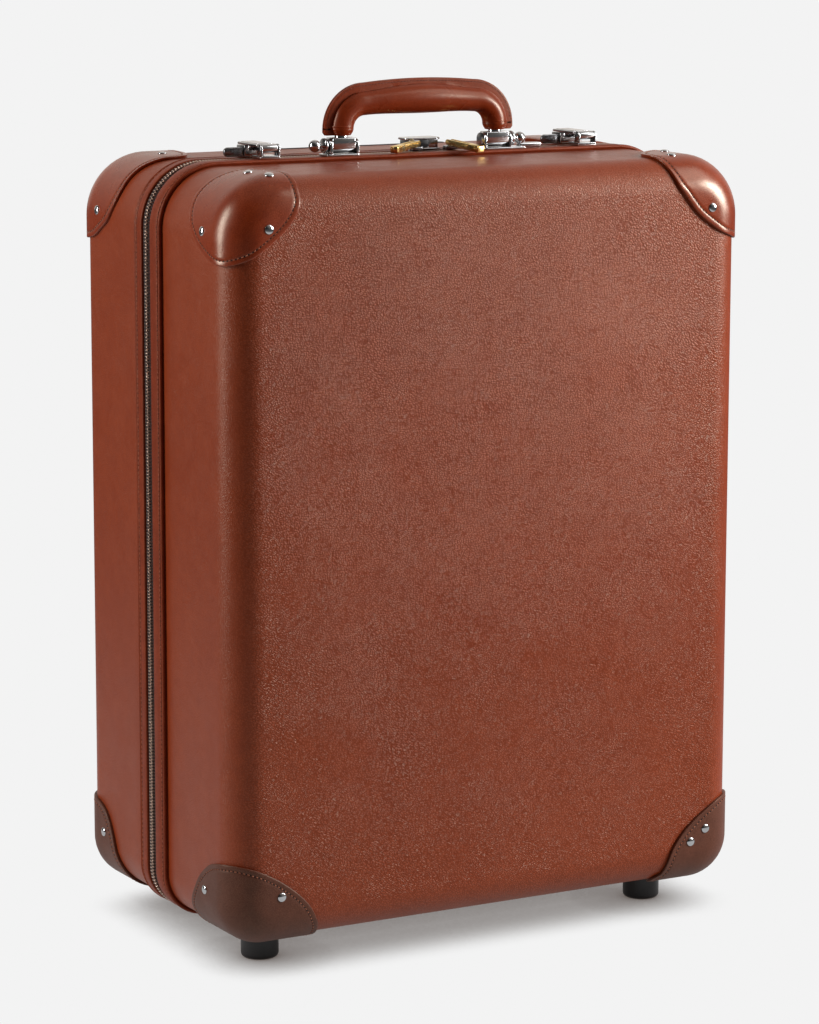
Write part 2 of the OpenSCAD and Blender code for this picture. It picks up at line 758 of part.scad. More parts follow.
module hasp(s) {
    x0 = s * latch_x;
    inner = [x0 + hasp_ear_t + barrel_gap, x0 + hasp_w - hasp_ear_t - barrel_gap];
    plate_z = [welt_z + hasp_h - hasp_t, welt_z + hasp_h];
    color(chrome_color) difference() {
        union() {
            translate([0, hasp_y, hasp_z]) rod_x(barrel_r, inner[0], inner[1]);
            block(inner, [hasp_y, hasp_y + barrel_r + hasp_root], plate_z);
            block([x0, x0 + hasp_w], [hasp_y + barrel_r + hasp_gap, hasp_end], plate_z);
            block([x0 + (hasp_w - tongue_w) / 2, x0 + (hasp_w + tongue_w) / 2],
                [tongue_y, tongue_y + tongue_t], [plate_z[0] - tongue_h, plate_z[0] + eps]);
        }
        translate([0, hasp_y, hasp_z]) rod_x(hasp_pin_r + run, x0 - over, x0 + hasp_w + over);
    }
}
module hasp_left() { hasp(-1); }
module hasp_right() { hasp(1); }
module latch_lock(s) {
    x0 = s * latch_x;
    channel_half = tongue_w / 2 + channel_gap;
    color(chrome_color) difference() {
        block([x0, x0 + hasp_w], [lock_y, hasp_end - hasp_gap], [welt_z, lock_top]);
        // channel that the hasp's tongue drops into, open towards the lid
        block([x0 + hasp_w / 2 - channel_half, x0 + hasp_w / 2 + channel_half],
            [lock_y - over, tongue_y + tongue_t + channel_end],
            [lock_top - channel_d, lock_top + over]);
        // passage of the slide
        block([x0 - over, x0 + neck_end + over], [neck_y[0] - neck_gap, neck_y[1] + neck_gap],
            [neck_z[0] - neck_gap, neck_z[1] + neck_gap]);
    }
}
module latch_lock_left() { latch_lock(-1); }
module latch_lock_right() { latch_lock(1); }
module latch_slide(s) {
    x0 = s * latch_x;
    tab_z = welt_z + tab_lift;
    tab_y = [neck_y[0] - tab_t, neck_y[0]];
    tab_x = x0 - tab_gap - tab_l + tab_h / 2;
    color(chrome_color) {
        translate([tab_x, tab_y[1], tab_z + tab_h / 2]) rotate([90, 0, 0])
            cylinder(r = tab_h / 2, h = tab_y[1] - tab_y[0]);
        block([tab_x, x0 - tab_gap], tab_y, [tab_z, tab_z + tab_h]);
        block([x0 - neck_start, x0 + neck_end], [neck_y[0] - eps, neck_y[1]], neck_z);
    }
}
module latch_slide_left() { latch_slide(-1); }
module latch_slide_right() { latch_slide(1); }

// Lock between the two latches, with the two zip sliders parked in front of it
lock_gap = 0.6;              // gap between the sliders and the lock
lock_front = joint_y + slider_w / 2 + lock_gap;
lock_back = lock_front + lock_d;
lock_plate_t = 1.5;
lock_plate_side = 3;         // the top plate reaches this far past the sides,
lock_plate_back = 0.6;       // this far past the back
lock_lip = 0.4;              // and this far past the front
lock_plate_r = 5;
lock_foot_side = 1.5;        // the foot reaches this far past the sides
lock_foot_t = 1;
button_h = 5;
button_lift = 1.9;           // height of the button above the welt
button_d = 8;                // length of the button
button_z = [welt_z + button_lift, welt_z + button_lift + button_h];
module rounded_plate(x, y, z, r) {
    translate([0, 0, z[0]]) linear_extrude(height = z[1] - z[0]) {
        translate([x[0] + r, y[0]]) square([x[1] - x[0] - 2 * r, y[1] - y[0]]);
        translate([x[0], y[0] + r]) square([x[1] - x[0], y[1] - y[0] - 2 * r]);
        for (px = [x[0] + r, x[1] - r], py = [y[0] + r, y[1] - r]) translate([px, py]) circle(r = r);
    }
}
module zip_lock_case() {
    half = lock_w / 2;
    color(chrome_color) difference() {
        union() {
            block([lock_x - half, lock_x + half], [lock_front, lock_back],
                [welt_z, welt_z + lock_h - lock_plate_t + eps]);
            block([lock_x - half - lock_foot_side, lock_x + half + lock_foot_side],
                [lock_front - lock_lip, lock_back], [welt_z, welt_z + lock_foot_t]);
            rounded_plate([lock_x - half - lock_plate_side, lock_x + half + lock_plate_side],
                [lock_front - lock_lip, lock_back + lock_plate_back],
                [welt_z + lock_h - lock_plate_t, welt_z + lock_h], lock_plate_r);
        }
        block([lock_x - button_w / 2 - fit, lock_x + button_w / 2 + fit],
            [lock_front - over, lock_front + button_d + over], [button_z[0] - fit, button_z[1] + fit]);
    }
}
module zip_lock_button() {
    color(black_color) block([lock_x - button_w / 2, lock_x + button_w / 2],
        [lock_front - button_travel, lock_front - button_travel + button_d], button_z);
}
left_slider_x = lock_x - 9;  // the sliders stand at these places along the zip
right_slider_x = lock_x + 19;
slider_gap = 0.1;            // gap between a slider's plate and the welts' height
slider_t = 2.5;
slider_z = [welt_z + slider_gap, welt_z + slider_gap + slider_t];
flange_gap = 0.2;            // gap round the slider's wall beside the teeth
pull_root_h = 4;             // thickness of a pull at its pivot
pull_gap = 0.4;              // gap between a slider and its pull
pull_z = slider_z[1] + pull_gap + pull_root_h / 2;
pull_pin_r = 0.9;
pull_pin_in = 0.5;           // the pin ends this far inside the pull's sides
left_pull_turn = 215;        // direction of a pull seen from above
right_pull_turn = -82;
// A pull lies on the welt: the left one with its tip, the right one across the front edge
left_pull_drop = asin((pull_z - pull_h / 2 - welt_z - seat) / pull_l);
right_pull_drop = 1.4 * left_pull_drop;
post_t = 2;
post_half = 2;
post_top = 1.6;              // height of the post above the pull's pin
module zip_slider(s) {
    turn = s < 0 ? left_pull_turn : right_pull_turn;
    x0 = s < 0 ? left_slider_x : right_slider_x;
    color(brass_color) {
        block([x0 - slider_l / 2, x0 + slider_l / 2],
            [joint_y - slider_w / 2, joint_y + slider_w / 2], slider_z);
        block([x0 - slider_l / 2, x0 + slider_l / 2],
            [joint_y + rim_gap / 2 + teeth_w + flange_gap, joint_y + slider_w / 2],
            [top_z + tape_t + flange_gap, slider_z[0] + eps]);
        translate([x0, joint_y, 0]) rotate([0, 0, turn]) {
            block([-post_half, post_half], [-post_t / 2, post_t / 2],
                [slider_z[1] - eps, pull_z + post_top]);
            translate([0, 0, pull_z]) rotate([90, 0, 0])
                cylinder(r = pull_pin_r, h = pull_w - 2 * pull_pin_in, center = true);
        }
    }
}
module zip_slider_left() { zip_slider(-1); }
module zip_slider_right() { zip_slider(1); }
pull_slot_end = 23;          // the pull is a fork up to here
module zip_pull(s) {
    turn = s < 0 ? left_pull_turn : right_pull_turn;
    x0 = s < 0 ? left_slider_x : right_slider_x;
    drop = s < 0 ? left_pull_drop : right_pull_drop;
    slot = post_t / 2 + seat;
    color(brass_color) translate([x0, joint_y, pull_z]) rotate([0, drop, turn]) difference() {
        union() {
            rotate([90, 0, 0]) cylinder(r = pull_root_h / 2, h = pull_w, center = true);
            translate([0, pull_w / 2, 0]) rotate([90, 0, 0]) linear_extrude(height = pull_w)
                polygon([[0, -pull_root_h / 2], [pull_l, -pull_h / 2], [pull_l, pull_h / 2],
                    [0, pull_root_h / 2]]);
        }
        block([-pull_h, pull_slot_end], [-slot, slot], [-pull_h, pull_h]);
        rotate([90, 0, 0]) cylinder(r = pull_pin_r + run, h = 2 * pull_w, center = true);
    }
}
module zip_pull_left() { zip_pull(-1); }
module zip_pull_right() { zip_pull(1); }

// Tow handle let into the top of the back half
tow_y = back_y - tow_in;
tow_grip_top = -0.5;         // the grip's top lies this far above the leather
tow_drop = 4.3;              // room under the grip for its foot
tow_floor = top_z - tow_grip_h - bezel_t - tow_drop;
recess_end_gap = 1.5;        // room at the ends of the grip
recess_side_gap = 0.8;       // room before and behind it
recess_half = tow_grip_half + recess_end_gap;
recess_d = tow_grip_d / 2 + recess_side_gap;
bezel_half = recess_half + bezel_t;
bezel_d = recess_d + bezel_t;
lining_gap = 0.2;            // gap between the lining and what stands on it
tube_foot_z = foot_h - inside + lining_gap;
tube_top = tow_floor;
mid_tube_r = tow_r - tow_t - tow_gap;
inner_tube_r = mid_tube_r - tow_t - tow_gap;
grip_lift = 1.6;             // height of the resting grip above the recess
grip_bottom = tow_floor + bezel_t + grip_lift;
bezel_proud = 0.6;
module bezel_cut() {
    block([-bezel_half - fit, bezel_half + fit], [tow_y - bezel_d - fit, tow_y + bezel_d + fit],
        [tow_floor - fit, top_z + 2 * cap_t]);
}
module tow_bezel() {
    color(black_color) difference() {
        across(-bezel_half, bezel_half) intersection() {
            depth_section(bezel_proud);
            translate([tow_y - bezel_d, tow_floor])
                square([2 * bezel_d, top_z - tow_floor + cap_t]);
        }
        block([-recess_half, recess_half], [tow_y - recess_d, tow_y + recess_d],
            [tow_floor + bezel_t, top_z + 2 * cap_t]);
        for (s = [-1, 1]) translate([s * tow_x, tow_y, tow_floor - over])
            cylinder(r = mid_tube_r + fit, h = bezel_t + 2 * over);
    }
}
module tow_tube(r, z1, z2) {
    for (s = [-1, 1]) translate([s * tow_x, tow_y, z1]) difference() {
        cylinder(r = r, h = z2 - z1);
        translate([0, 0, -over]) cylinder(r = r - tow_t, h = z2 - z1 + 2 * over);
    }
}
foot_bar_t = 5;
module tow_outer_tubes() {
    color([0.62, 0.63, 0.65]) intersection() {
        union() {
            tow_tube(tow_r, tube_foot_z + foot_bar_t - eps, tube_top);
            block([-tow_x - tow_r, tow_x + tow_r], [tow_y - tow_r, tow_y + tow_r],
                [tube_foot_z, tube_foot_z + foot_bar_t]);
        }
        across(-tow_x - tow_r, tow_x + tow_r) depth_section(inside - lining_gap);
    }
}
tube_rest = foot_h + edge_r; // the moving tubes end above the rounded lower edge
tube_step = 8;               // and the inner ones end above the middle ones
tube_proud = 1;              // height of the middle tubes above the recess
module tow_middle_tubes() {
    color(chrome_color) tow_tube(mid_tube_r, tube_rest, tow_floor + bezel_t + tube_proud);
}
module tow_inner_tubes() {
    color(chrome_color) tow_tube(inner_tube_r, tube_rest + tube_step, grip_bottom);
}
tow_button_half = 14;
tow_button_y = [tow_y - 8.5, tow_y + 1.5];
tow_button_h = 6;
tow_button_room = 4;         // room under the button
tow_button_proud = 0.3;
module tow_grip() {
    color(black_color) difference() {
        across(-tow_grip_half, tow_grip_half) intersection() {
            depth_section(tow_grip_top);
            translate([tow_y - tow_grip_d / 2, grip_bottom]) square([tow_grip_d, tow_grip_h + cap_t]);
        }
        block([-tow_button_half - fit, tow_button_half + fit],
            [tow_button_y[0] - fit, tow_button_y[1] + fit],
            [top_z - tow_button_h - tow_button_room, top_z + cap_t]);
    }
}
module tow_button() {
    color([0.30, 0.30, 0.31]) across(-tow_button_half, tow_button_half) intersection() {
        depth_section(tow_button_proud);
        translate([tow_button_y[0], top_z - tow_button_h])
            square([tow_button_y[1] - tow_button_y[0], tow_button_h + cap_t]);
    }
}
// Cover over the tow tubes, inside the back half
cover_t = 1.5;
cover_side_gap = 3;          // room beside the tubes
cover_gap = 0.6;             // room before them
cover_half = tow_x + tow_r + cover_side_gap;
cover_y = tow_y - tow_r - cover_gap;
cover_top = tow_floor - 1;
module tow_cover() {
    color(lining_color) {
        block([-cover_half, cover_half], [cover_y - cover_t, cover_y], [tube_foot_z, cover_top]);
        for (s = [-1, 1]) {
            side_x = [s * cover_half, s * (cover_half - cover_t)];
            across(min(side_x), max(side_x)) intersection() {
                depth_section(inside - lining_gap);
                translate([cover_y - eps, tube_foot_z])
                    square([back_y - cover_y, cover_top - tube_foot_z]);
            }
        }
    }
}

// Packing strap across the back half, with its buckle
strap_y = cover_y - cover_t - lining_gap;
strap_mid = foot_h + strap_z;
strap_end = 12;
buckle_half = 26;
buckle_t = 3.6;
buckle_rim = 5;
buckle_h = strap_w / 2 + buckle_rim;
strap_side_gap = 0.1;        // gap between the strap's end and the lining
module packing_strap() {
    color([0.36, 0.22, 0.14]) for (s = [-1, 1]) {
        strap_x = [s * strap_end, s * (half_w + inside - strap_side_gap)];
        block([min(strap_x), max(strap_x)], [strap_y - strap_t, strap_y],
            [strap_mid - strap_w / 2, strap_mid + strap_w / 2]);
    }
}
module strap_buckle() {
    color(brass_color) difference() {
        block([-buckle_half, buckle_half], [strap_y - buckle_t, strap_y],
            [strap_mid - buckle_h, strap_mid + buckle_h]);
        for (s = [-1, 1]) {
            pocket_x = [s * strap_end, s * (buckle_half + over)];
            block([min(pocket_x), max(pocket_x)], [strap_y - strap_t - fit, strap_y + over],
                [strap_mid - strap_w / 2 - fit, strap_mid + strap_w / 2 + fit]);
        }
    }
}

back_board();
back_leather();
back_lining();
back_welt();
back_zip_tape();
back_zip_teeth();
back_cap_top_left();
back_cap_top_right();
back_cap_bottom_left();
back_cap_bottom_right();
back_cap_rivets();
wheel_housing_left();
wheel_housing_right();
wheel_tyre_left();
wheel_tyre_right();
wheel_hub_left();
wheel_hub_right();
wheel_axles();
latch_lock_left();
latch_lock_right();
latch_slide_left();
latch_slide_right();
zip_lock_case();
zip_lock_button();
zip_slider_left();
zip_slider_right();
zip_pull_left();
zip_pull_right();
tow_bezel();
tow_outer_tubes();
tow_cover();
tow_middle_tubes();
tow_inner_tubes();
tow_grip();
tow_button();
packing_strap();
strap_buckle();
hinge_leaf_back();
lid_board();
lid_leather();
lid_lining();
lid_welt();
lid_zip_tape();
lid_zip_teeth();
lid_cap_top_left();
lid_cap_top_right();
lid_cap_bottom_left();
lid_cap_bottom_right();
lid_cap_rivets();
lid_foot_left();
lid_foot_right();
handle_bracket_left();
handle_bracket_right();
handle_ends();
handle_grip();
hasp_bases();
hasp_left();
hasp_right();
hinge_leaf_front();
hinge_pin();
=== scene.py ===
"""Leather carry-on suitcase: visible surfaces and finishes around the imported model."""

import json
import logging
import math
from dataclasses import dataclass, field
from enum import Enum

import bmesh
import bpy
import numpy as np
from mathutils import Matrix, Vector
from numpy.typing import NDArray


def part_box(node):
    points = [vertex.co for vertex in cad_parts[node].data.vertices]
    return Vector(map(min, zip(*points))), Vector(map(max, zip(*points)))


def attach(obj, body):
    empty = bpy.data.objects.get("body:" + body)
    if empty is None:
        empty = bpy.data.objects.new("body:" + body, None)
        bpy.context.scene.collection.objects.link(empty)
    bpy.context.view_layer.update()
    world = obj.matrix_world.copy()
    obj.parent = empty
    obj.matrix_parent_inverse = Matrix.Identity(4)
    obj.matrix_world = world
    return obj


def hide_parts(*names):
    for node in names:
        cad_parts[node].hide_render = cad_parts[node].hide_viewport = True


Array = NDArray[np.float64]
Bounds = tuple[Array, Array]
Colour = tuple[float, float, float]

MM = 0.001
LOG = logging.getLogger("suitcase")

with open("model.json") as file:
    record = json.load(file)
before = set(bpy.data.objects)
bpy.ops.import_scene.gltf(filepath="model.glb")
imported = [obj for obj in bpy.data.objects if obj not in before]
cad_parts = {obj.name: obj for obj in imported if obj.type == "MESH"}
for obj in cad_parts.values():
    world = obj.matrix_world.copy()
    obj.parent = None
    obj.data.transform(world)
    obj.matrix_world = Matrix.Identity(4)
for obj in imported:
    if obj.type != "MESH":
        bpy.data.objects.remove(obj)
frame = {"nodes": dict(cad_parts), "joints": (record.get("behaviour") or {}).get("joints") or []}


def node_box(node: str) -> Bounds:
    """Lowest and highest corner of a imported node, in millimetres."""
    low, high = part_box(node)
    return np.array(low) / MM, np.array(high) / MM


class Named(Enum):
    """A choice whose name stands inside node and piece names."""

    @property
    def word(self) -> str:
        """The choice's name in small letters."""
        return self.name.lower()


class Side(Named):
    """Left or right, seen from the front."""

    LEFT = -1
    RIGHT = 1


class Level(Named):
    """Bottom or top of the case."""

    BOTTOM = -1
    TOP = 1


class Half(Named):
    """The two halves of the case, with the sign of their flat face."""

    LID = -1
    BACK = 1

    @property
    def body(self) -> str:
        """The moving body that the half rides on."""
        return "lid" if self is Half.LID else "root"


# Meshes

@dataclass
class Shell:
    """A mesh in millimetres: points, the corners of all faces in a row, and the faces' corner counts."""

    points: Array
    corners: NDArray[np.int64]
    sizes: NDArray[np.int64]

    @staticmethod
    def joined(shells: list["Shell"]) -> "Shell":
        """Put several shells into one.

        Args:
            shells: The shells to join.

        Returns:
            One shell with all their points and faces.
        """
        starts = np.cumsum([0] + [len(s.points) for s in shells[:-1]])
        return Shell(
            np.concatenate([s.points for s in shells]),
            np.concatenate([s.corners + start for s, start in zip(shells, starts)]),
            np.concatenate([s.sizes for s in shells]),
        )

    def moved(self, by: tuple[float, float, float]) -> "Shell":
        """The shell shifted by a step in millimetres."""
        return Shell(self.points + np.array(by, float), self.corners, self.sizes)

    def placed(self, origins: Array, bases: Array) -> "Shell":
        """Repeat the shell in several places.

        Each copy's points are origin + x * first axis + y * second axis + z * third axis.

        Args:
            origins: One point per copy, shape (k, 3).
            bases: One row of three axes per copy, shape (k, 3, 3).

        Returns:
            One shell that holds every copy.
        """
        count, size = len(origins), len(self.points)
        points = origins[:, None, :] + np.einsum("pa,kab->kpb", self.points, bases)
        corners = self.corners[None, :] + (np.arange(count) * size)[:, None]
        return Shell(points.reshape(-1, 3), corners.ravel(), np.tile(self.sizes, count))


def lofted(rings: Array) -> Shell:
    """Skin a stack of closed rings, with a flat face on the first and on the last ring.

    Args:
        rings: Points of shape (rings, points per ring, 3).

    Returns:
        The skinned shell.
    """
    rows, cols = rings.shape[:2]
    here = (np.arange(rows - 1)[:, None] * cols + np.arange(cols)).ravel()
    ahead = (np.arange(rows - 1)[:, None] * cols + (np.arange(cols) + 1) % cols).ravel()
    sides = np.stack([here, ahead, ahead + cols, here + cols], -1).ravel()
    corners = np.concatenate([sides, np.arange(cols)[::-1], np.arange(cols) + (rows - 1) * cols])
    sizes = np.concatenate([np.full(len(here), 4), [cols, cols]])
    return Shell(rings.reshape(-1, 3), corners, sizes)


def looped(rings: Array) -> Shell:
    """Skin closed rings in a closed loop, as round a hoop, of shape (rings, points, 3)."""
    rows, cols = rings.shape[:2]
    row, col = np.meshgrid(np.arange(rows), np.arange(cols), indexing="ij")
    after_row, after_col = (row + 1) % rows, (col + 1) % cols
    corners = np.stack(
        [row * cols + col, row * cols + after_col, after_row * cols + after_col, after_row * cols + col], -1)
    return Shell(rings.reshape(-1, 3), corners.reshape(-1), np.full(rows * cols, 4))


def rounded_box(low: Array, high: Array, radius: float, steps: int = 4) -> Shell:
    """A box with all its edges rounded.

    A point of a ball with longitude a and latitude b has the direction (cos a cos b, sin a cos b, sin b). The ball's
    eight parts are pulled apart to the box's corners, and the gaps between them become the flat faces.

    Args:
        low: Lowest corner.
        high: Highest corner.
        radius: Radius of the edges.
        steps: Faces along a quarter of a round.

    Returns:
        The closed box.
    """
    low, high = np.asarray(low, float), np.asarray(high, float)
    radius = min(radius, 0.499 * float((high - low).min()))
    quarter = np.linspace(0, math.pi / 2, steps + 1)
    around = np.concatenate([quarter + k * math.pi / 2 for k in range(4)])
    sign_x = np.repeat([1, -1, -1, 1], steps + 1)
    sign_y = np.repeat([1, 1, -1, -1], steps + 1)
    up = np.concatenate([quarter - math.pi / 2, quarter])
    sign_z = np.repeat([-1, 1], steps + 1)
    longitude, latitude = np.meshgrid(around, up)
    ball = np.stack([np.cos(longitude) * np.cos(latitude), np.sin(longitude) * np.cos(latitude),
                     np.sin(latitude)], -1)
    shift = np.stack([np.broadcast_to(sign_x, longitude.shape), np.broadcast_to(sign_y, longitude.shape),
                      np.broadcast_to(sign_z[:, None], longitude.shape)], -1)
    half = (high - low) / 2 - radius
    return lofted((low + high) / 2 + shift * half + radius * ball)


def slab(outline: Array, low: float, high: float, bevel: float, axis: int = 2) -> Shell:
    """A plate with rounded edges: an outline carried along an axis.

    Near both ends the outline draws in by bevel * (1 - cos t) while the height grows by bevel * (1 - sin t).

    Args:
        outline: Closed outline, counter-clockwise, of shape (n, 2), in the two other axes in X, Y, Z order.
        low: Where the plate starts on the axis.
        high: Where it ends.
        bevel: Radius of the edges.
        axis: 0, 1 or 2.

    Returns:
        The closed plate.
    """
    edge = np.roll(outline, -1, 0) - np.roll(outline, 1, 0)
    normal = np.stack([edge[:, 1], -edge[:, 0]], -1)
    normal /= np.maximum(np.linalg.norm(normal, axis=1, keepdims=True), 1e-9)
    turn = np.linspace(0, math.pi / 2, 4)
    draw, rise = bevel * (1 - np.sin(turn)), bevel * (1 - np.cos(turn))
    levels = np.concatenate([low + rise, high - rise[::-1]])
    inset = np.concatenate([draw, draw[::-1]])
    flat = outline[None] - normal[None] * inset[:, None, None]
    rings = np.empty((len(levels), len(outline), 3))
    others = [i for i in range(3) if i != axis]
    rings[:, :, others[0]], rings[:, :, others[1]] = flat[:, :, 0], flat[:, :, 1]
    rings[:, :, axis] = levels[:, None]
    return lofted(rings)


def rounded_outline(low: tuple[float, float], high: tuple[float, float], radii: tuple[float, ...],
                    steps: int = 6) -> Array:
    """A rectangle with round corners, counter-clockwise from the low corner.

    Args:
        low: Lowest corner.
        high: Highest corner.
        radii: Radii of the corners, from the low one, counter-clockwise.
        steps: Faces along a corner.

    Returns:
        Points of shape (n, 2).
    """
    corners = ((low[0], low[1], 1, 1), (high[0], low[1], -1, 1), (high[0], high[1], -1, -1), (low[0], high[1], 1, -1))
    parts = []
    for k, ((x, y, inward_x, inward_y), radius) in enumerate(zip(corners, radii)):
        turn = np.linspace(0, math.pi / 2, steps + 1) + math.pi + k * math.pi / 2
        parts.append(np.stack([x + radius * (inward_x + np.cos(turn)), y + radius * (inward_y + np.sin(turn))], -1))
    return np.concatenate(parts)


def revolved(profile: Array, steps: int = 32) -> Shell:
    """A profile of (radius, height) turned round +Z, closed by flat ends."""
    turn = np.linspace(0, 2 * math.pi, steps, endpoint=False)
    rings = np.stack([profile[:, 0, None] * np.cos(turn), profile[:, 0, None] * np.sin(turn),
                      np.broadcast_to(profile[:, 1, None], (len(profile), steps))], -1)
    return lofted(rings)


def rod(radius: float, low: float, high: float, bevel: float = 0.3, steps: int = 32) -> Shell:
    """A round bar along +Z with rounded rims."""
    turn = np.linspace(0, math.pi / 2, 4)
    out, rise = radius - bevel * (1 - np.sin(turn)), bevel * (1 - np.cos(turn))
    profile = np.concatenate([np.stack([out, low + rise], -1), np.stack([out, high - rise], -1)[::-1]])
    return revolved(profile, steps)


ALONG_X = np.array([[0.0, 1.0, 0.0], [0.0, 0.0, 1.0], [1.0, 0.0, 0.0]])
ALONG_Y = np.array([[0.0, 0.0, 1.0], [1.0, 0.0, 0.0], [0.0, 1.0, 0.0]])


def turned(shell: Shell, basis: Array, at: tuple[float, float, float]) -> Shell:
    """A shell whose own axes become the rows of a basis, moved to a place."""
    return Shell(shell.points @ basis + np.array(at, float), shell.corners, shell.sizes)


def unit(vectors: Array) -> Array:
    """The vectors at length one."""
    return vectors / np.maximum(np.linalg.norm(vectors, axis=-1, keepdims=True), 1e-12)


def travelled(points: Array) -> Array:
    """The distance along a line of points, at each of them."""
    return np.concatenate([[0], np.cumsum(np.linalg.norm(np.diff(points, axis=0), axis=1))])


def sampled(where: Array, run: Array, values: Array) -> Array:
    """Rows of values, given at the distances run, read at other distances."""
    return np.stack([np.interp(where, run, column) for column in values.T], -1)


def smooth_loop(points: Array, count: int) -> Array:
    """A closed curve through key points, at even steps.

    Between two key points it is the cubic whose slope at each is half the step between its two neighbours.

    Args:
        points: Key points of shape (k, 3).
        count: Number of points on the result.

    Returns:
        Points of shape (count, 3).
    """
    before, after, beyond = np.roll(points, 1, 0), np.roll(points, -1, 0), np.roll(points, -2, 0)
    t = np.linspace(0, 1, 24, endpoint=False)[:, None, None]
    fine = (points + 0.5 * t * (after - before) + t**2 * (before - 2.5 * points + 2 * after - 0.5 * beyond)
            + t**3 * (1.5 * (points - after) + 0.5 * (beyond - before)))
    fine = fine.transpose(1, 0, 2).reshape(-1, 3)
    ring = np.concatenate([fine, fine[:1]])
    run = travelled(ring)
    return sampled(np.linspace(0, run[-1], count, endpoint=False), run, ring)


# Finishes

Value = object


class Nodes:
    """A node tree that is put together step by step."""

    def __init__(self, tree: bpy.types.NodeTree) -> None:
        """Take the tree that gets the nodes."""
        self.tree = tree

    def step(self, kind: str, values: dict | None = None, **settings: Value) -> bpy.types.Node:
        """Add one node.

        Args:
            kind: Blender's name of the node.
            values: Input values or sockets, by input name or index.
            settings: Settings of the node itself.

        Returns:
            The new node.
        """
        node = self.tree.nodes.new(kind)
        for key, value in settings.items():
            setattr(node, key, value)
        for key, value in (values or {}).items():
            self.join(node.inputs[key], value)
        return node

    def join(self, socket: bpy.types.NodeSocket, value: Value) -> None:
        """Link a socket to another one, or give it a plain value."""
        if isinstance(value, bpy.types.NodeSocket):
            self.tree.links.new(value, socket)
        else:
            socket.default_value = value

    def maths(self, kind: str, first: Value, second: Value = 0.0) -> bpy.types.NodeSocket:
        """One step of arithmetic."""
        return self.step("ShaderNodeMath", {0: first, 1: second}, operation=kind).outputs[0]

    def spread(self, value: Value, start: float, end: float, low: float = 0.0, high: float = 1.0
               ) -> bpy.types.NodeSocket:
        """A value carried smoothly from one range to another."""
        values = {"Value": value, "From Min": start, "From Max": end, "To Min": low, "To Max": high}
        return self.step("ShaderNodeMapRange", values, interpolation_type="SMOOTHSTEP").outputs[0]


class Recipe(Nodes):
    """A node material that is put together step by step."""

    def __init__(self, name: str) -> None:
        """Start an empty material with a Principled surface."""
        self.material = bpy.data.materials.new(name)
        self.material.use_nodes = True
        super().__init__(self.material.node_tree)
        self.surface = self.tree.nodes["Principled BSDF"]
        self.place = self.step("ShaderNodeTexCoord").outputs["Object"]

    def stretched(self, scale: tuple[float, float, float], turn: tuple[float, float, float] = (0, 0, 0),
                  place: Value = None) -> bpy.types.NodeSocket:
        """Coordinates in which a pattern comes out so many times longer along axes turned by angles in degrees."""
        values = {"Vector": place or self.place, "Scale": scale, "Rotation": [math.radians(a) for a in turn]}
        return self.step("ShaderNodeMapping", values, vector_type="TEXTURE").outputs[0]

    def pushed(self, place: Value, lumps: float, reach_mm: float) -> bpy.types.NodeSocket:
        """Coordinates pushed about by noise with so many lumps to the metre, by up to half a reach."""
        push = self.step("ShaderNodeTexNoise", {"Vector": self.place, "Scale": lumps, "Detail": 2.0}).outputs["Color"]
        push = self.step("ShaderNodeVectorMath", {0: push, "Scale": reach_mm * MM}, operation="SCALE").outputs[0]
        return self.step("ShaderNodeVectorMath", {0: place, 1: push}, operation="ADD").outputs[0]

    def noise(self, scale: float, detail: float = 3, rough: float = 0.5, place: Value = None) -> bpy.types.NodeSocket:
        """Grey noise with so many lumps to the metre."""
        values = {"Vector": place or self.place, "Scale": scale, "Detail": detail, "Roughness": rough}
        return self.step("ShaderNodeTexNoise", values).outputs["Fac"]

    def mixed(self, share: Value, first: Value, second: Value) -> bpy.types.NodeSocket:
        """Two colours mixed."""
        node = self.step("ShaderNodeMix", data_type="RGBA")
        for socket, value in zip((node.inputs[0], node.inputs[6], node.inputs[7]), (share, first, second)):
            self.join(socket, (*value, 1.0) if isinstance(value, tuple) else value)
        return node.outputs[2]

    def relief(self, height: Value, depth_mm: float, under: Value = None) -> bpy.types.NodeSocket:
        """Bumps of a depth in millimetres, on top of other bumps if there are any."""
        values = {"Height": height, "Distance": depth_mm * MM, "Strength": 1.0}
        if under is not None:
            values["Normal"] = under
        return self.step("ShaderNodeBump", values).outputs[0]

    def finish(self, **inputs: Value) -> bpy.types.Material:
        """Set the surface's inputs, with words joined by _ for spaces, and return the material."""
        for key, value in inputs.items():
            self.join(self.surface.inputs[key.replace("_", " ")], (*value, 1.0) if isinstance(value, tuple) else value)
        return self.material


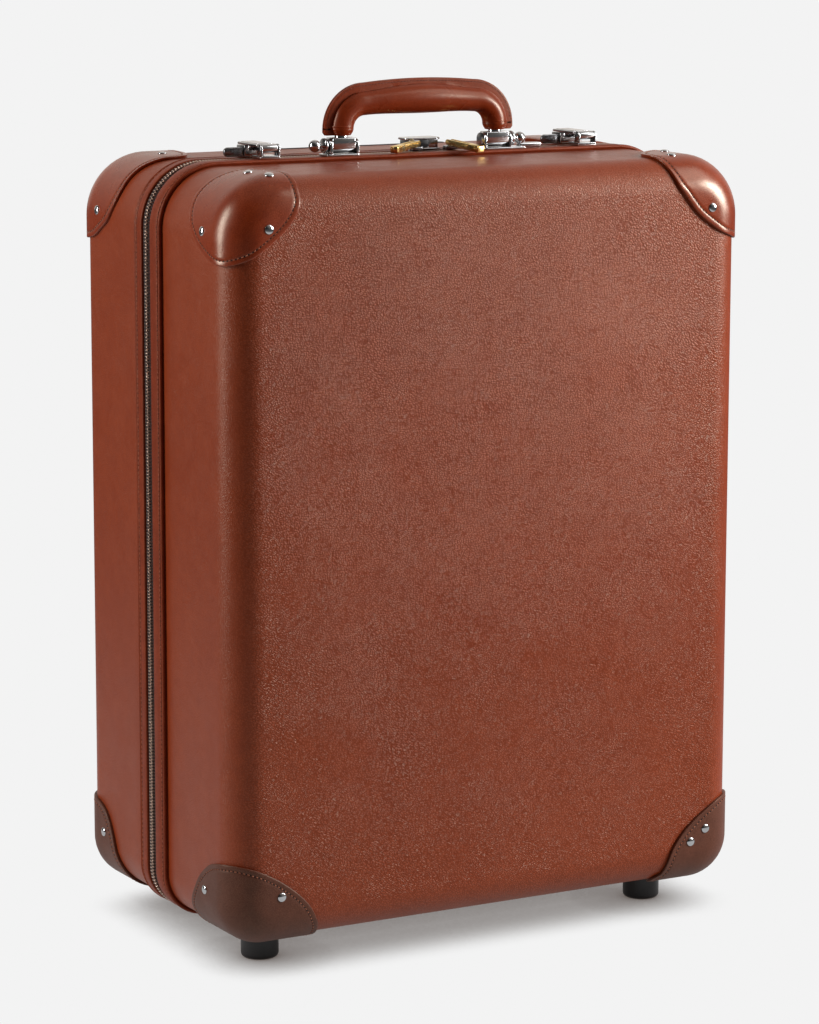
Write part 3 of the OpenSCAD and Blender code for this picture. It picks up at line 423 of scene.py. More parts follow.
@dataclass(frozen=True)
class Leather:
    """Dyed leather with a pebbled grain of a size and depth in millimetres, drawn out along a slant."""

    name: str
    colour: Colour
    dark: Colour
    roughness: float = 0.39
    grain: float = 1.25
    depth: float = 0.13
    drawn: float = 2.0
    slant_deg: float = 33.0
    crease: float = 0.25
    pores: float = 0.014
    shine: float = 0.6
    grain_follows_attribute: bool = False
    furrow: float = 0.26
    # how strongly painted shade darkens the colour and dims the sheen in the grain's furrows
    valley_tint: float = 0.5
    valley_dull: float = 0.8
    shine_tint: Colour = (1.0, 0.87, 0.69)

    def material(self) -> bpy.types.Material:
        """Make the material: pushed cells for the pebbles, long creases in patches, pores, clouds of dye, and painted
        shade that darkens the colour and dims the sheen in the furrows between the pebbles.
        """
        r = Recipe(self.name)
        place = r.pushed(r.pushed(r.place, 500.0, 0.7), 7.0, 30.0)
        place = r.stretched((self.drawn, 1.0, 1.0), (0, self.slant_deg, 0), place)
        cells = r.step("ShaderNodeTexVoronoi", {"Vector": place, "Scale": 1 / (self.grain * MM)},
                       feature="DISTANCE_TO_EDGE").outputs["Distance"]
        pebbles = r.spread(cells, 0.0, self.furrow)
        long = r.stretched((7.0, 3.0, 1.0), (0, self.slant_deg, 0), r.pushed(r.place, 60.0, 9.0))
        folds = r.spread(r.maths("ABSOLUTE", r.maths("SUBTRACT", r.noise(330, 1, place=long), 0.5)), 0.0, 0.07)
        patches = r.spread(r.noise(11, 2), 0.40, 0.62)
        amount = r.spread(r.noise(17, 2), 0.3, 0.7, 0.8, 1.0)
        if self.grain_follows_attribute:
            share = r.step("ShaderNodeAttribute", attribute_name="grain").outputs["Fac"]
            amount = r.maths("MULTIPLY", amount, share)
        height = r.maths("MULTIPLY", pebbles, amount)
        creased = r.maths("MULTIPLY", r.maths("MULTIPLY", folds, patches), self.crease)
        height = r.maths("ADD", height, r.maths("MULTIPLY", creased, amount))
        bumps = r.relief(height, self.depth, r.relief(r.noise(2400, 2), self.pores))
        clouds = r.maths("ADD", r.maths("MULTIPLY", r.noise(6, 4, 0.6), 0.6), r.maths("MULTIPLY", r.noise(130, 3), 0.4))
        tint = r.mixed(r.spread(clouds, 0.36, 0.64), self.dark, self.colour)
        # painted shade: the furrows between the pebbles get a darker colour and less sheen, in place of the shade that
        # falls in them
        painted_furrow_shade = r.maths("MULTIPLY", r.maths("SUBTRACT", 1.0, pebbles), r.maths("MULTIPLY", amount, self.valley_tint))
        colour = r.mixed(painted_furrow_shade, tint, tuple(0.5 * c for c in self.dark))
        sheen_share = r.maths("SUBTRACT", 1.0, r.maths("MULTIPLY", painted_furrow_shade, self.valley_dull))
        shine = r.maths("MULTIPLY", sheen_share, self.shine)
        gloss = r.maths("ADD", r.spread(r.noise(60, 3), 0.3, 0.7, -0.03, 0.03), self.roughness)
        return r.finish(Base_Color=colour, Roughness=gloss, Normal=bumps, Specular_IOR_Level=shine,
                        Specular_Tint=self.shine_tint)


@dataclass(frozen=True)
class Metal:
    """Plated or drawn metal."""

    name: str
    colour: Colour
    roughness: float
    brushed: tuple[float, float, float] | None = None
    tarnish: float = 0.06

    def material(self) -> bpy.types.Material:
        """Make the material: smudges in the gloss, and fine lines where the metal is brushed."""
        r = Recipe(self.name)
        smudge = r.spread(r.noise(180, 4), 0.35, 0.75)
        gloss = r.maths("ADD", r.maths("MULTIPLY", smudge, self.tarnish), self.roughness)
        dull = tuple(0.8 * c for c in self.colour)
        colour = r.mixed(r.maths("MULTIPLY", smudge, 0.5), self.colour, dull)
        lines = r.noise(900, 2, place=r.stretched(self.brushed) if self.brushed else None)
        depth = 0.02 if self.brushed else 0.006
        return r.finish(Base_Color=colour, Roughness=gloss, Metallic=1.0, Normal=r.relief(lines, depth))


@dataclass(frozen=True)
class Moulded:
    """Rubber or plastic with a fine moulded texture."""

    name: str
    colour: Colour
    roughness: float
    texture: float = 1400.0
    depth: float = 0.02

    def material(self) -> bpy.types.Material:
        """Make the material: a fine texture, and dust that dulls it in patches."""
        r = Recipe(self.name)
        dust = r.spread(r.noise(70, 4), 0.45, 0.8)
        colour = r.mixed(dust, self.colour, tuple(1.25 * c + 0.002 for c in self.colour))
        gloss = r.maths("ADD", r.maths("MULTIPLY", dust, 0.12), self.roughness)
        return r.finish(Base_Color=colour, Roughness=gloss, Normal=r.relief(r.noise(self.texture, 2), self.depth))


@dataclass(frozen=True)
class Cloth:
    """Woven cloth with threads of a width in millimetres."""

    name: str
    colour: Colour
    dark: Colour
    thread: float = 0.8

    def material(self) -> bpy.types.Material:
        """Make the material: two slanted sets of waves for the twill, and fibres."""
        r = Recipe(self.name)
        scale = 1 / (self.thread * MM)
        ribs = r.step("ShaderNodeTexWave", {"Vector": r.stretched((6.2,) * 3, (38, 20, 52)), "Scale": scale,
                                            "Distortion": 0.4, "Detail": 1.0}).outputs["Fac"]
        cross = r.step("ShaderNodeTexWave", {"Vector": r.stretched((8.3,) * 3, (-35, 65, -40)), "Scale": scale,
                                             "Distortion": 0.6, "Detail": 1.0}).outputs["Fac"]
        weave = r.maths("MULTIPLY", ribs, r.maths("ADD", r.maths("MULTIPLY", cross, 0.5), 0.5))
        colour = r.mixed(r.spread(weave, 0.1, 0.8), self.dark, self.colour)
        fibres = r.relief(r.noise(1800, 2), 0.03)
        return r.finish(Base_Color=colour, Roughness=0.88, Normal=r.relief(weave, 0.18, fibres),
                        Sheen_Weight=0.15)


@dataclass(frozen=True)
class Board:
    """Pressed fibreboard."""

    name: str
    colour: Colour

    def material(self) -> bpy.types.Material:
        """Make the material: long pressed fibres."""
        r = Recipe(self.name)
        fibres = r.noise(420, 4, 0.6, r.stretched((1.0, 1.0, 4.0)))
        colour = r.mixed(r.spread(fibres, 0.3, 0.7), tuple(0.6 * c for c in self.colour), self.colour)
        return r.finish(Base_Color=colour, Roughness=0.85, Normal=r.relief(fibres, 0.1))


class Finish(Enum):
    """Every finish on the case, each made once."""

    SKIN = Leather("skin_leather", (0.262, 0.037, 0.007), (0.226, 0.029, 0.005), grain_follows_attribute=True)
    CAP = Leather("glazed_cap", (0.270, 0.034, 0.006), (0.200, 0.021, 0.004), 0.29, 1.1, 0.006, 1.0, crease=0.0,
                  pores=0.003, shine=0.95)
    # lower caps: duller leather, and a darker colour that is partly painted shade of the case's underside
    LOW_CAP = Leather("worn_cap_leather", (0.125, 0.033, 0.017), (0.090, 0.022, 0.011), 0.48, 1.0, 0.03, 1.0)
    WELT = Leather("welt_leather", (0.250, 0.035, 0.008), (0.185, 0.023, 0.005), 0.46, 1.0, 0.04, 1.0, shine=0.3)
    GRIP = Leather("glazed_grip", (0.235, 0.030, 0.006), (0.190, 0.022, 0.004), 0.29, 0.9, 0.008, 1.0, crease=0.0,
                   pores=0.003, shine=0.55)
    GRIP_THREAD = Cloth("waxed_thread", (0.150, 0.030, 0.012), (0.090, 0.016, 0.006), 0.35)
    STRAP = Leather("strap_leather", (0.200, 0.060, 0.022), (0.150, 0.040, 0.014), 0.50, 1.4, 0.08)
    THREAD = Cloth("thread", (0.430, 0.140, 0.062), (0.280, 0.080, 0.035), 0.35)
    # painted shade: near-black discs stand in for the shade inside the stitch holes
    HOLE = Moulded("stitch_hole", (0.012, 0.002, 0.001), 0.9)
    CHROME = Metal("bright_nickel", (0.62, 0.62, 0.63), 0.10)
    DARK_CHROME = Metal("smoked_nickel", (0.30, 0.30, 0.31), 0.14)
    BRASS = Metal("polished_brass", (0.86, 0.62, 0.24), 0.20)
    TEETH = Metal("tooth_metal", (0.62, 0.45, 0.36), 0.28)
    HINGE = Metal("satin_brass", (0.60, 0.44, 0.20), 0.32, (20.0, 1.0, 1.0))
    TUBE = Metal("drawn_tube", (0.62, 0.63, 0.65), 0.26, (1.0, 1.0, 30.0))
    RUBBER = Moulded("rubber_foot", (0.012, 0.010, 0.010), 0.34, 900.0, 0.03)
    TYRE = Moulded("tyre_rubber", (0.016, 0.016, 0.017), 0.55, 700.0, 0.06)
    PLASTIC = Moulded("moulded_black", (0.014, 0.014, 0.015), 0.38)
    LINING = Cloth("lining_twill", (0.420, 0.300, 0.170), (0.260, 0.170, 0.090))
    TAPE = Cloth("woven_tape", (0.040, 0.016, 0.012), (0.016, 0.007, 0.006), 0.5)
    BOARD = Board("fibreboard", (0.300, 0.190, 0.100))

    @property
    def made(self) -> bpy.types.Material:
        """The material, made when it is first asked for."""
        name = self.value.name
        return bpy.data.materials.get(name) or self.value.material()


def linked(name: str, data: bpy.types.ID) -> bpy.types.Object:
    """A new object that is linked into the scene."""
    made = bpy.data.objects.new(name, data)
    bpy.context.scene.collection.objects.link(made)
    return made


def dress_node(node: str, finish: Finish) -> None:
    """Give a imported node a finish.

    Args:
        node: The node's name.
        finish: Its finish.
    """
    mesh = frame["nodes"][node].data
    for k in range(max(1, len(mesh.materials))):
        if k < len(mesh.materials):
            mesh.materials[k] = finish.made
        else:
            mesh.materials.append(finish.made)


def add_piece(name: str, shell: Shell, finish: Finish, body: str, stands_for: tuple[str, ...] = (),
              sharp: float = 40.0) -> bpy.types.Object:
    """Put a shell into the scene as a finished piece that rides on a body.

    Points closer than a ten-thousandth of a millimetre are merged, and the faces are turned outwards.

    Args:
        name: Name of the piece.
        shell: Its mesh, in millimetres.
        finish: Its finish.
        body: The body it rides on.
        stands_for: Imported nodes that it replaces.
        sharp: Angle in degrees above which an edge stays sharp.

    Returns:
        The new object.
    """
    mesh = bpy.data.meshes.new(name)
    mesh.vertices.add(len(shell.points))
    mesh.vertices.foreach_set("co", (shell.points * MM).astype(np.float32).ravel())
    mesh.loops.add(len(shell.corners))
    mesh.loops.foreach_set("vertex_index", shell.corners.astype(np.int32))
    mesh.polygons.add(len(shell.sizes))
    starts = np.concatenate([[0], np.cumsum(shell.sizes)[:-1]])
    mesh.polygons.foreach_set("loop_start", starts.astype(np.int32))
    mesh.update(calc_edges=True)
    work = bmesh.new()
    work.from_mesh(mesh)
    bmesh.ops.remove_doubles(work, verts=work.verts, dist=1e-7)
    bmesh.ops.recalc_face_normals(work, faces=work.faces)
    work.to_mesh(mesh)
    work.free()
    mesh.shade_smooth()
    mesh.set_sharp_from_angle(angle=math.radians(sharp))
    mesh.materials.append(finish.made)
    piece = linked(name, mesh)
    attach(piece, body)
    if stands_for:
        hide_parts(*stands_for)
    LOG.info("%s: %d faces, on %s", name, len(mesh.polygons), body)
    return piece


# The case's form

@dataclass
class CaseForm:
    """The leather's outer surface: a box with round corners seen from the front and round front and back edges."""

    corner_r: float = 42.0
    low_corner_r: float = 30.0
    edge_r: float = 24.0
    arc_steps: int = 28
    side_steps: int = 22
    half_w: float = field(init=False)
    half_h: float = field(init=False)
    mid_z: float = field(init=False)
    front_y: float = field(init=False)
    back_y: float = field(init=False)

    def __post_init__(self) -> None:
        """Read the leather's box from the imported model."""
        low, high = node_box("lid_leather")
        self.half_w, self.half_h = (high[0] - low[0]) / 2, (high[2] - low[2]) / 2
        self.mid_z, self.front_y = (high[2] + low[2]) / 2, low[1]
        self.back_y = node_box("back_leather")[1][1]

    def depth_face(self, half: Half) -> float:
        """The y of a half's flat face."""
        return self.front_y if half is Half.LID else self.back_y

    @property
    def lengths(self) -> Array:
        """Lengths of the outline's nine parts, from the middle of the bottom: sides and quarter circles in turn."""
        top, low = self.corner_r, self.low_corner_r
        flat_top, flat_low = self.half_w - top, self.half_w - low
        side = 2 * self.half_h - top - low
        arcs = math.pi / 2 * np.array([low, top])
        return np.array([flat_low, arcs[0], side, arcs[1], 2 * flat_top, arcs[1], side, arcs[0], flat_low])

    def outline(self, run: Array) -> tuple[Array, Array]:
        """Points and outward normals on the outline, seen from the front.

        The outline starts at the middle of the bottom and goes right, up, left and down again, along straight
        sides and quarter circles.

        Args:
            run: Distances along the outline.

        Returns:
            Points (x, z) and normals (x, z), both of shape (n, 2).
        """
        starts = np.concatenate([[0], np.cumsum(self.lengths)])
        run = np.mod(run, starts[-1])
        part = np.clip(np.searchsorted(starts, run, side="right") - 1, 0, 8)
        along = run - starts[part]
        radius = np.array([self.low_corner_r] * 2 + [self.corner_r] * 5 + [self.low_corner_r] * 2)
        radius[2] = self.low_corner_r
        right, up = self.half_w - radius, self.half_h - radius
        across = np.array([0, 1, 1, 1, 1, -1, -1, -1, -1]) * right
        height = np.array([-1, -1, -1, 1, 1, 1, 1, -1, -1]) * up
        start_angle = np.array([-90, -90, 0, 0, 90, 90, 180, 180, 270])[part] * math.pi / 180
        r = radius[part]
        angle = start_angle + np.where(part % 2 == 1, along / r, 0.0)
        normal = np.stack([np.cos(angle), np.sin(angle)], -1)
        tangent = np.stack([-np.sin(angle), np.cos(angle)], -1)
        centre = np.stack([across[part], height[part]], -1)
        points = centre + r[:, None] * normal + np.where(part % 2 == 1, 0.0, along)[:, None] * tangent
        points[:, 1] += self.mid_z
        return points, normal

    def stations(self) -> Array:
        """Distances along the outline for a sweep, at even steps on each of its parts."""
        runs, base = [], 0.0
        for k, length in enumerate(self.lengths):
            steps = self.arc_steps if k % 2 else self.side_steps
            runs.append(base + np.linspace(0, length, steps, endpoint=False))
            base += length
        return np.concatenate(runs)

    def swept(self, run: Array, out: Array, depth: Array) -> Array:
        """Carry a section round the outline.

        Each point is the outline's point + out * its normal, at the section's depth y.

        Args:
            run: Distances along the outline, shape (m,).
            out: How far each section point stands outside the leather, shape (n,).
            depth: The y of each section point, shape (n,).

        Returns:
            Points of shape (m, n, 3).
        """
        base, normal = self.outline(run)
        flat = base[:, None, :] + normal[:, None, :] * out[None, :, None]
        ys = np.broadcast_to(depth, (len(run), len(depth)))
        return np.stack([flat[:, :, 0], ys, flat[:, :, 1]], -1)

    def distance(self, points: Array) -> Array:
        """How far points lie outside the leather.

        Seen from the front it is the distance to a rectangle with round corners. That distance and the depth
        beyond the flat part then make the same formula once more for the rounded edge.
        """
        e = self.edge_r
        r = np.where(points[..., 2] > self.mid_z, self.corner_r, self.low_corner_r)
        across = np.abs(points[..., 0]) - (self.half_w - r)
        up = np.abs(points[..., 2] - self.mid_z) - (self.half_h - r)
        flat = np.hypot(np.maximum(across, 0), np.maximum(up, 0)) + np.minimum(np.maximum(across, up), 0) - r
        mid_y, half_d = (self.front_y + self.back_y) / 2, (self.back_y - self.front_y) / 2
        deep = np.abs(points[..., 1] - mid_y) - (half_d - e)
        side = flat + e
        return np.hypot(np.maximum(side, 0), np.maximum(deep, 0)) + np.minimum(np.maximum(side, deep), 0) - e

    def normals(self, points: Array) -> Array:
        """Outward directions at points near the surface, from the slope of the distance."""
        step = 0.02
        slopes = [self.distance(points + step * axis) - self.distance(points - step * axis) for axis in np.eye(3)]
        return unit(np.stack(slopes, -1))

    def hit(self, origin: Array, directions: Array, out: float | Array = 0.0) -> Array:
        """Where rays from inside the case reach the surface, or a height above it.

        Each step goes as far as the distance to the surface, until that is next to nothing.
        """
        points = np.broadcast_to(origin, directions.shape).copy()
        for _ in range(90):
            points += directions * (out - self.distance(points))[..., None]
        return points


@dataclass
class Skins:
    """The leather skins of the two halves."""

    form: CaseForm
    leather_t: float = 1.6
    arc_steps: int = 12
    inner_gap: float = 0.2
    sharp_deg: float = 50.0
    cutter_reach: float = 40.0
    wall_grain: float = 0.55

    def section(self, half: Half) -> Bounds:
        """Inset and y of the skin's section, from the middle of the flat face round the rim and back."""
        rim = node_box(half.word + "_leather")[1 if half is Half.LID else 0][1]
        face, sign = self.form.depth_face(half), half.value
        e, t = self.form.edge_r, self.leather_t
        turn = np.linspace(math.pi / 2, 0, self.arc_steps + 1)
        deepest = self.form.low_corner_r - 0.5
        outer_inset = np.concatenate([[deepest, deepest - 2], e - e * np.cos(turn), [0, 0, 0, 0.3]])
        flat_end = face - sign * e
        wall = [flat_end + (rim - flat_end) * k for k in (0.33, 0.66)]
        outer_y = np.concatenate([[face] * 2, face - sign * (e - e * np.sin(turn)), wall, [rim + sign * 0.3, rim]])
        inner_r = e - t
        inner_inset = np.concatenate([[t, t], e - inner_r * np.cos(turn[::-1]), [deepest - 2, deepest]])
        inner_face = face - sign * t
        inner_y = np.concatenate([[rim, wall[0]], inner_face - sign * (inner_r - inner_r * np.sin(turn[::-1])),
                                  [inner_face] * 2])
        return np.concatenate([outer_inset, inner_inset]), np.concatenate([outer_y, inner_y])

    def build(self, half: Half) -> None:
        """Make one half's skin, with its openings cut, and mark where its grain is deep."""
        inset, depth = self.section(half)
        rings = self.form.swept(self.form.stations(), -inset, depth).transpose(1, 0, 2)
        node = half.word + "_leather"
        piece = add_piece(half.word + "_skin", lofted(rings), Finish.SKIN, half.body, (node,),
                          self.sharp_deg)
        if half is Half.BACK:
            self.cut(piece)
        self.mark_grain(piece)

    def cut(self, piece: bpy.types.Object) -> None:
        """Cut the openings for the tow handle's bezel and the wheel housings."""
        boxes = [node_box("tow_bezel")] + [node_box(f"wheel_housing_{side.word}") for side in Side]
        for k, (low, high) in enumerate(boxes):
            low, high = low - self.inner_gap, high + self.inner_gap
            if k == 0:
                high[2] += self.cutter_reach
            else:
                high[1] += self.cutter_reach
                low[2] -= self.cutter_reach
            tool = linked("cutter", bpy.data.meshes.new("cutter"))
            corners = np.array([[x, y, z] for x in (low[0], high[0]) for y in (low[1], high[1])
                                for z in (low[2], high[2])]) * MM
            faces = [(0, 1, 3, 2), (4, 6, 7, 5), (0, 4, 5, 1), (2, 3, 7, 6), (0, 2, 6, 4), (1, 5, 7, 3)]
            tool.data.from_pydata(corners.tolist(), [], faces)
            cutting = piece.modifiers.new("opening", "BOOLEAN")
            cutting.operation, cutting.solver, cutting.object = "DIFFERENCE", "EXACT", tool
            graph = bpy.context.evaluated_depsgraph_get()
            mesh = bpy.data.meshes.new_from_object(piece.evaluated_get(graph))
            piece.modifiers.clear()
            piece.data = mesh
            bpy.data.objects.remove(tool)
        piece.data.name = piece.name
        piece.data.set_sharp_from_angle(angle=math.radians(self.sharp_deg))

    def mark_grain(self, piece: bpy.types.Object) -> None:
        """Store how deep the grain is: full on the flat face, less on the stretched edges, least on the walls."""
        mesh = piece.data
        points = np.empty(len(mesh.vertices) * 3, np.float32)
        mesh.vertices.foreach_get("co", points)
        points = points.reshape(-1, 3) / MM
        middle = (self.form.front_y + self.form.back_y) / 2
        deep = np.abs(points[:, 1] - middle) - ((self.form.back_y - self.form.front_y) / 2 - self.form.edge_r)
        share = self.wall_grain + (1 - self.wall_grain) * np.clip(deep / self.form.edge_r, 0, 1) ** 3
        mark = mesh.attributes.new("grain", "FLOAT", "POINT")
        mark.data.foreach_set("value", share.astype(np.float32))


# Stitches

@dataclass(frozen=True)
class Stitching:
    """A row of stitches: small threads lying over near-black discs that are painted shade for the holes."""

    pitch: float = 3.3
    length: float = 2.1
    radius: float = 0.32
    hole_r: float = 0.42

    def thread(self) -> Shell:
        """One stitch along X: an arch whose radius and height follow the sine of the way along."""
        t = np.linspace(0.06, math.pi - 0.06, 7)
        turn = np.linspace(0, 2 * math.pi, 6, endpoint=False)
        size = self.radius * np.sqrt(np.sin(t))[:, None]
        rings = np.stack([np.broadcast_to((-np.cos(t) * self.length / 2)[:, None], (7, 6)),
                          size * np.cos(turn), size * np.sin(turn) + 0.10 * np.sin(t)[:, None]], -1)
        return lofted(rings)

    def hole(self) -> Shell:
        """One hole's painted shade: a shallow dish that lies at the stitch's end and is given a near-black finish."""
        profile = np.array([(self.hole_r, -0.05), (self.hole_r, 0.03), (self.hole_r * 0.6, 0.05)])
        return revolved(profile, 8)

    def rows(self, points: Array, normals: Array, closed: bool = False) -> tuple[Shell, Shell]:
        """Stitches and holes along a curve on a surface.

        Args:
            points: The curve, shape (n, 3).
            normals: Outward directions of the surface along it.
            closed: Whether the curve ends where it starts.

        Returns:
            The threads and the holes.
        """
        if closed:
            points, normals = np.concatenate([points, points[:1]]), np.concatenate([normals, normals[:1]])
        run = travelled(points)
        count = max(2, int(round(run[-1] / self.pitch)))
        at = (np.arange(count) + 0.5) * run[-1] / count
        centre, up = sampled(at, run, points), unit(sampled(at, run, normals))
        after, before = np.minimum(at + 0.4, run[-1]), np.maximum(at - 0.4, 0)
        ahead = unit(sampled(after, run, points) - sampled(before, run, points))
        side = unit(np.cross(up, ahead))
        threads = self.thread().placed(centre, np.stack([ahead, side, up], 1))
        gaps = (np.arange(count + (0 if closed else 1))) * run[-1] / count
        centre, up = sampled(gaps, run, points), unit(sampled(gaps, run, normals))
        side = unit(np.cross(up, np.array([0.31, 0.52, 0.80])))
        holes = self.hole().placed(centre, np.stack([np.cross(side, up), side, up], 1))
        return threads, holes


def add_stitches(name: str, rows: list[tuple[Shell, Shell]], finish: Finish, body: str) -> None:
    """Put rows of stitches into the scene, the threads as one piece and the painted shade of their holes as another."""
    threads, holes = zip(*rows)
    add_piece(name + "_thread", Shell.joined(list(threads)), finish, body)
    add_piece(name + "_stitch_holes", Shell.joined(list(holes)), Finish.HOLE, body)


# Corner caps

@dataclass(frozen=True)
class CapShape:
    """Outline and rivets of one corner cap, measured inwards from the corner's side, face and end."""

    outline: tuple[tuple[float, float, float], ...]
    rivets: tuple[tuple[float, float, float], ...]
    finish: Finish


FRONT_TOP_LEFT = CapShape(
    ((52, 0, 18), (53, 4, 9), (53, 12, 3), (52, 26, 0), (49, 42, 0), (41, 53, 0), (30, 59, 1), (21, 63, 4),
     (13, 65, 10), (6, 65, 18), (1, 61, 28), (0, 54, 38), (0, 42, 48), (0, 27, 55), (2, 13, 58), (14, 1, 54),
     (26, 0, 47), (39, 0, 37), (47, 0, 28)),
    ((29, 0, 34), (0, 38, 37), (33, 38, 0), (38, 17, 0)), Finish.CAP)
FRONT_TOP_RIGHT = CapShape(
    ((67, 23, 0), (65, 15, 1), (62, 5, 7), (57, 0, 18), (52, 0, 25), (43, 0, 36), (35, 0, 43), (23, 0, 51),
     (13, 1, 55), (3, 8, 58), (0, 24, 58), (0, 44, 49), (1, 58, 36), (5, 66, 20), (16, 67, 6), (34, 62, 0),
     (52, 52, 0), (64, 38, 0)),
    ((30, 0, 35), (0, 40, 38), (40, 45, 0), (50, 21, 0)), Finish.CAP)
FRONT_BOTTOM_LEFT = CapShape(
    ((67, 9, 4), (64, 1, 14), (54, 0, 30), (36, 0, 45), (17, 0, 55), (2, 13, 58), (0, 33, 54), (0, 49, 43),
     (0, 58, 31), (1, 66, 18), (8, 68, 7), (19, 66, 1), (27, 52, 0), (34, 38, 0), (48, 34, 0), (60, 28, 0),
     (66, 18, 1)),
    ((36, 0, 35), (0, 41, 35)), Finish.LOW_CAP)
FRONT_BOTTOM_RIGHT = CapShape(
    ((65, 10, 3), (61, 5, 7), (59, 1, 14), (55, 0, 26), (47, 0, 37), (37, 0, 46), (22, 0, 56), (12, 2, 60),
     (2, 11, 61), (0, 26, 58), (0, 44, 50), (0, 56, 36), (2, 64, 18), (9, 66, 5), (19, 64, 1), (27, 52, 0),
     (34, 38, 0), (48, 34, 0), (60, 26, 0)),
    ((28, 0, 39), (40, 0, 31), (0, 42, 34)), Finish.LOW_CAP)
BACK_TOP = CapShape(
    ((0, 20, 57), (0, 30, 55), (0, 41, 49), (0, 52, 42), (1, 61, 30), (5, 64, 21), (11, 65, 12), (19, 66, 6),
     (28, 69, 2), (40, 71, 0), (53, 65, 0), (61, 50, 0), (64, 30, 0), (64, 12, 2), (62, 2, 12), (58, 0, 28),
     (46, 0, 44), (30, 0, 55), (12, 0, 60), (2, 9, 59)),
    ((29, 0, 35), (0, 36, 37), (44, 47, 0)), Finish.CAP)
BACK_BOTTOM = CapShape(
    ((0, 12, 60), (0, 26, 58), (0, 39, 51), (0, 48, 38), (0, 53, 27), (2, 57, 16), (8, 59, 7), (18, 60, 1),
     (34, 59, 0), (49, 50, 0), (56, 32, 0), (57, 14, 2), (56, 3, 10), (53, 0, 24), (44, 0, 42), (30, 0, 53),
     (14, 0, 60), (3, 5, 61)),
    ((34, 0, 34), (0, 35, 37)), Finish.LOW_CAP)


@dataclass
class CornerCaps:
    """Eight moulded leather caps with their stitching and rivets."""

    form: CaseForm
    thickness: float = 2.3
    stitch_in: float = 3.7
    groove: float = 0.28
    around: int = 180
    pole_steps: int = 12
    eye: tuple[float, float, float] = (44.0, 44.0, 44.0)
    stitching: Stitching = Stitching(3.1, 1.7, 0.34, 0.62)
    rivet_r: float = 3.3
    rivet_h: float = 1.4

    def corner(self, half: Half, level: Level, side: Side) -> tuple[Array, Array]:
        """A corner's sharp point and the signs that lead inwards from it."""
        form = self.form
        point = np.array([side.value * form.half_w, form.depth_face(half), form.mid_z + level.value * form.half_h])
        return point, -np.array([side.value, half.value, level.value], float)

    def build(self, half: Half, level: Level, side: Side, shape: CapShape) -> None:
        """Make one cap, its stitches and its rivets.

        Args:
            half: Lid or back.
            level: Bottom or top.
            side: Left or right.
            shape: Outline and rivets.
        """
        point, inward = self.corner(half, level, side)
        eye = point + inward * np.array(self.eye)
        keys = point + inward * np.array(shape.outline, float)
        rim = self.form.hit(eye, unit(smooth_loop(keys, self.around) - eye))
        normal = self.form.normals(rim)
        ahead = unit(np.roll(rim, -1, 0) - np.roll(rim, 1, 0))
        inner = unit(np.cross(normal, ahead))
        pole = unit(-inward)
        if np.mean(np.sum(inner * (eye + pole * 90 - rim), -1)) < 0:
            inner = -inner
        rings = [self.ring(eye, rim, inner, *step) for step in self.edge_steps()]
        last = rings[-1]
        toward = unit(self.form.hit(eye, unit(last - eye)) - eye)
        for t in np.linspace(0, 1, self.pole_steps + 1)[1:-1]:
            rings.append(self.form.hit(eye, unit((1 - t) * toward + t * pole), self.thickness))
        top = self.form.hit(eye, pole[None], self.thickness)
        rings.append(np.repeat(top, self.around, 0))
        under = [self.form.hit(eye, unit((1 - t) * unit(rim - eye) + t * pole), 0.03) for t in (1.0, 0.75, 0.5, 0.25)]
        name = f"{half.word}_cap_{level.word}_{side.word}"
        add_piece(name + "_leather", looped(np.stack(rings + under)), shape.finish, half.body, (name,), 60)
        row = self.ring(eye, rim, inner, self.stitch_in, self.thickness - self.groove + 0.12)
        stitches = self.stitching.rows(row, self.form.normals(row), closed=True)
        add_stitches(name, [stitches], Finish.THREAD, half.body)

    def edge_steps(self) -> list[tuple[float, float]]:
        """Distance in from the rim and height over the skin of the rings near the rim."""
        t, g, s = self.thickness, self.groove, self.stitch_in
        return [(0.0, 0.03), (0.0, t * 0.4), (0.05, t - 0.55), (0.22, t - 0.22), (0.55, t - 0.04), (1.0, t),
                (s - 0.9, t), (s - 0.4, t - 0.6 * g), (s, t - g), (s + 0.4, t - 0.6 * g), (s + 0.9, t), (s + 2.6, t)]

    def ring(self, eye: Array, rim: Array, inner: Array, inset: float, height: float) -> Array:
        """The rim's curve moved inwards along the skin and raised over it."""
        return self.form.hit(eye, unit(rim + inner * inset - eye), height)

    def rivet(self) -> Shell:
        """A domed head: the height falls with the square of the radius, and the rim is rounded."""
        out = self.rivet_r * np.array([0.97, 1.0, 0.985, 0.94, 0.82, 0.64, 0.42, 0.2, 0.03])
        up = np.array([-0.25, 0.12, 0.34, 0.55, 0.83, 1.09, 1.28, 1.38, 1.4]) / 1.4 * self.rivet_h
        return revolved(np.stack([out, up], -1), 28)

    def rivets(self, half: Half, shapes: dict[tuple[Level, Side], CapShape]) -> None:
        """Make all rivet heads of one half."""
        heads = []
        for (level, side), shape in shapes.items():
            point, inward = self.corner(half, level, side)
            eye = point + inward * np.array(self.eye)
            targets = point + inward * np.array(shape.rivets, float)
            seats = self.form.hit(eye, unit(targets - eye), self.thickness)
            up = self.form.normals(seats)
            first = unit(np.cross(up, np.array([0.2, 0.3, 0.93])))
            heads.append(self.rivet().placed(seats, np.stack([first, np.cross(up, first), up], 1)))
        add_piece(f"{half.word}_rivet_heads", Shell.joined(heads), Finish.CHROME, half.body,
                  (f"{half.word}_cap_rivets",), 60)


# Welts and zip

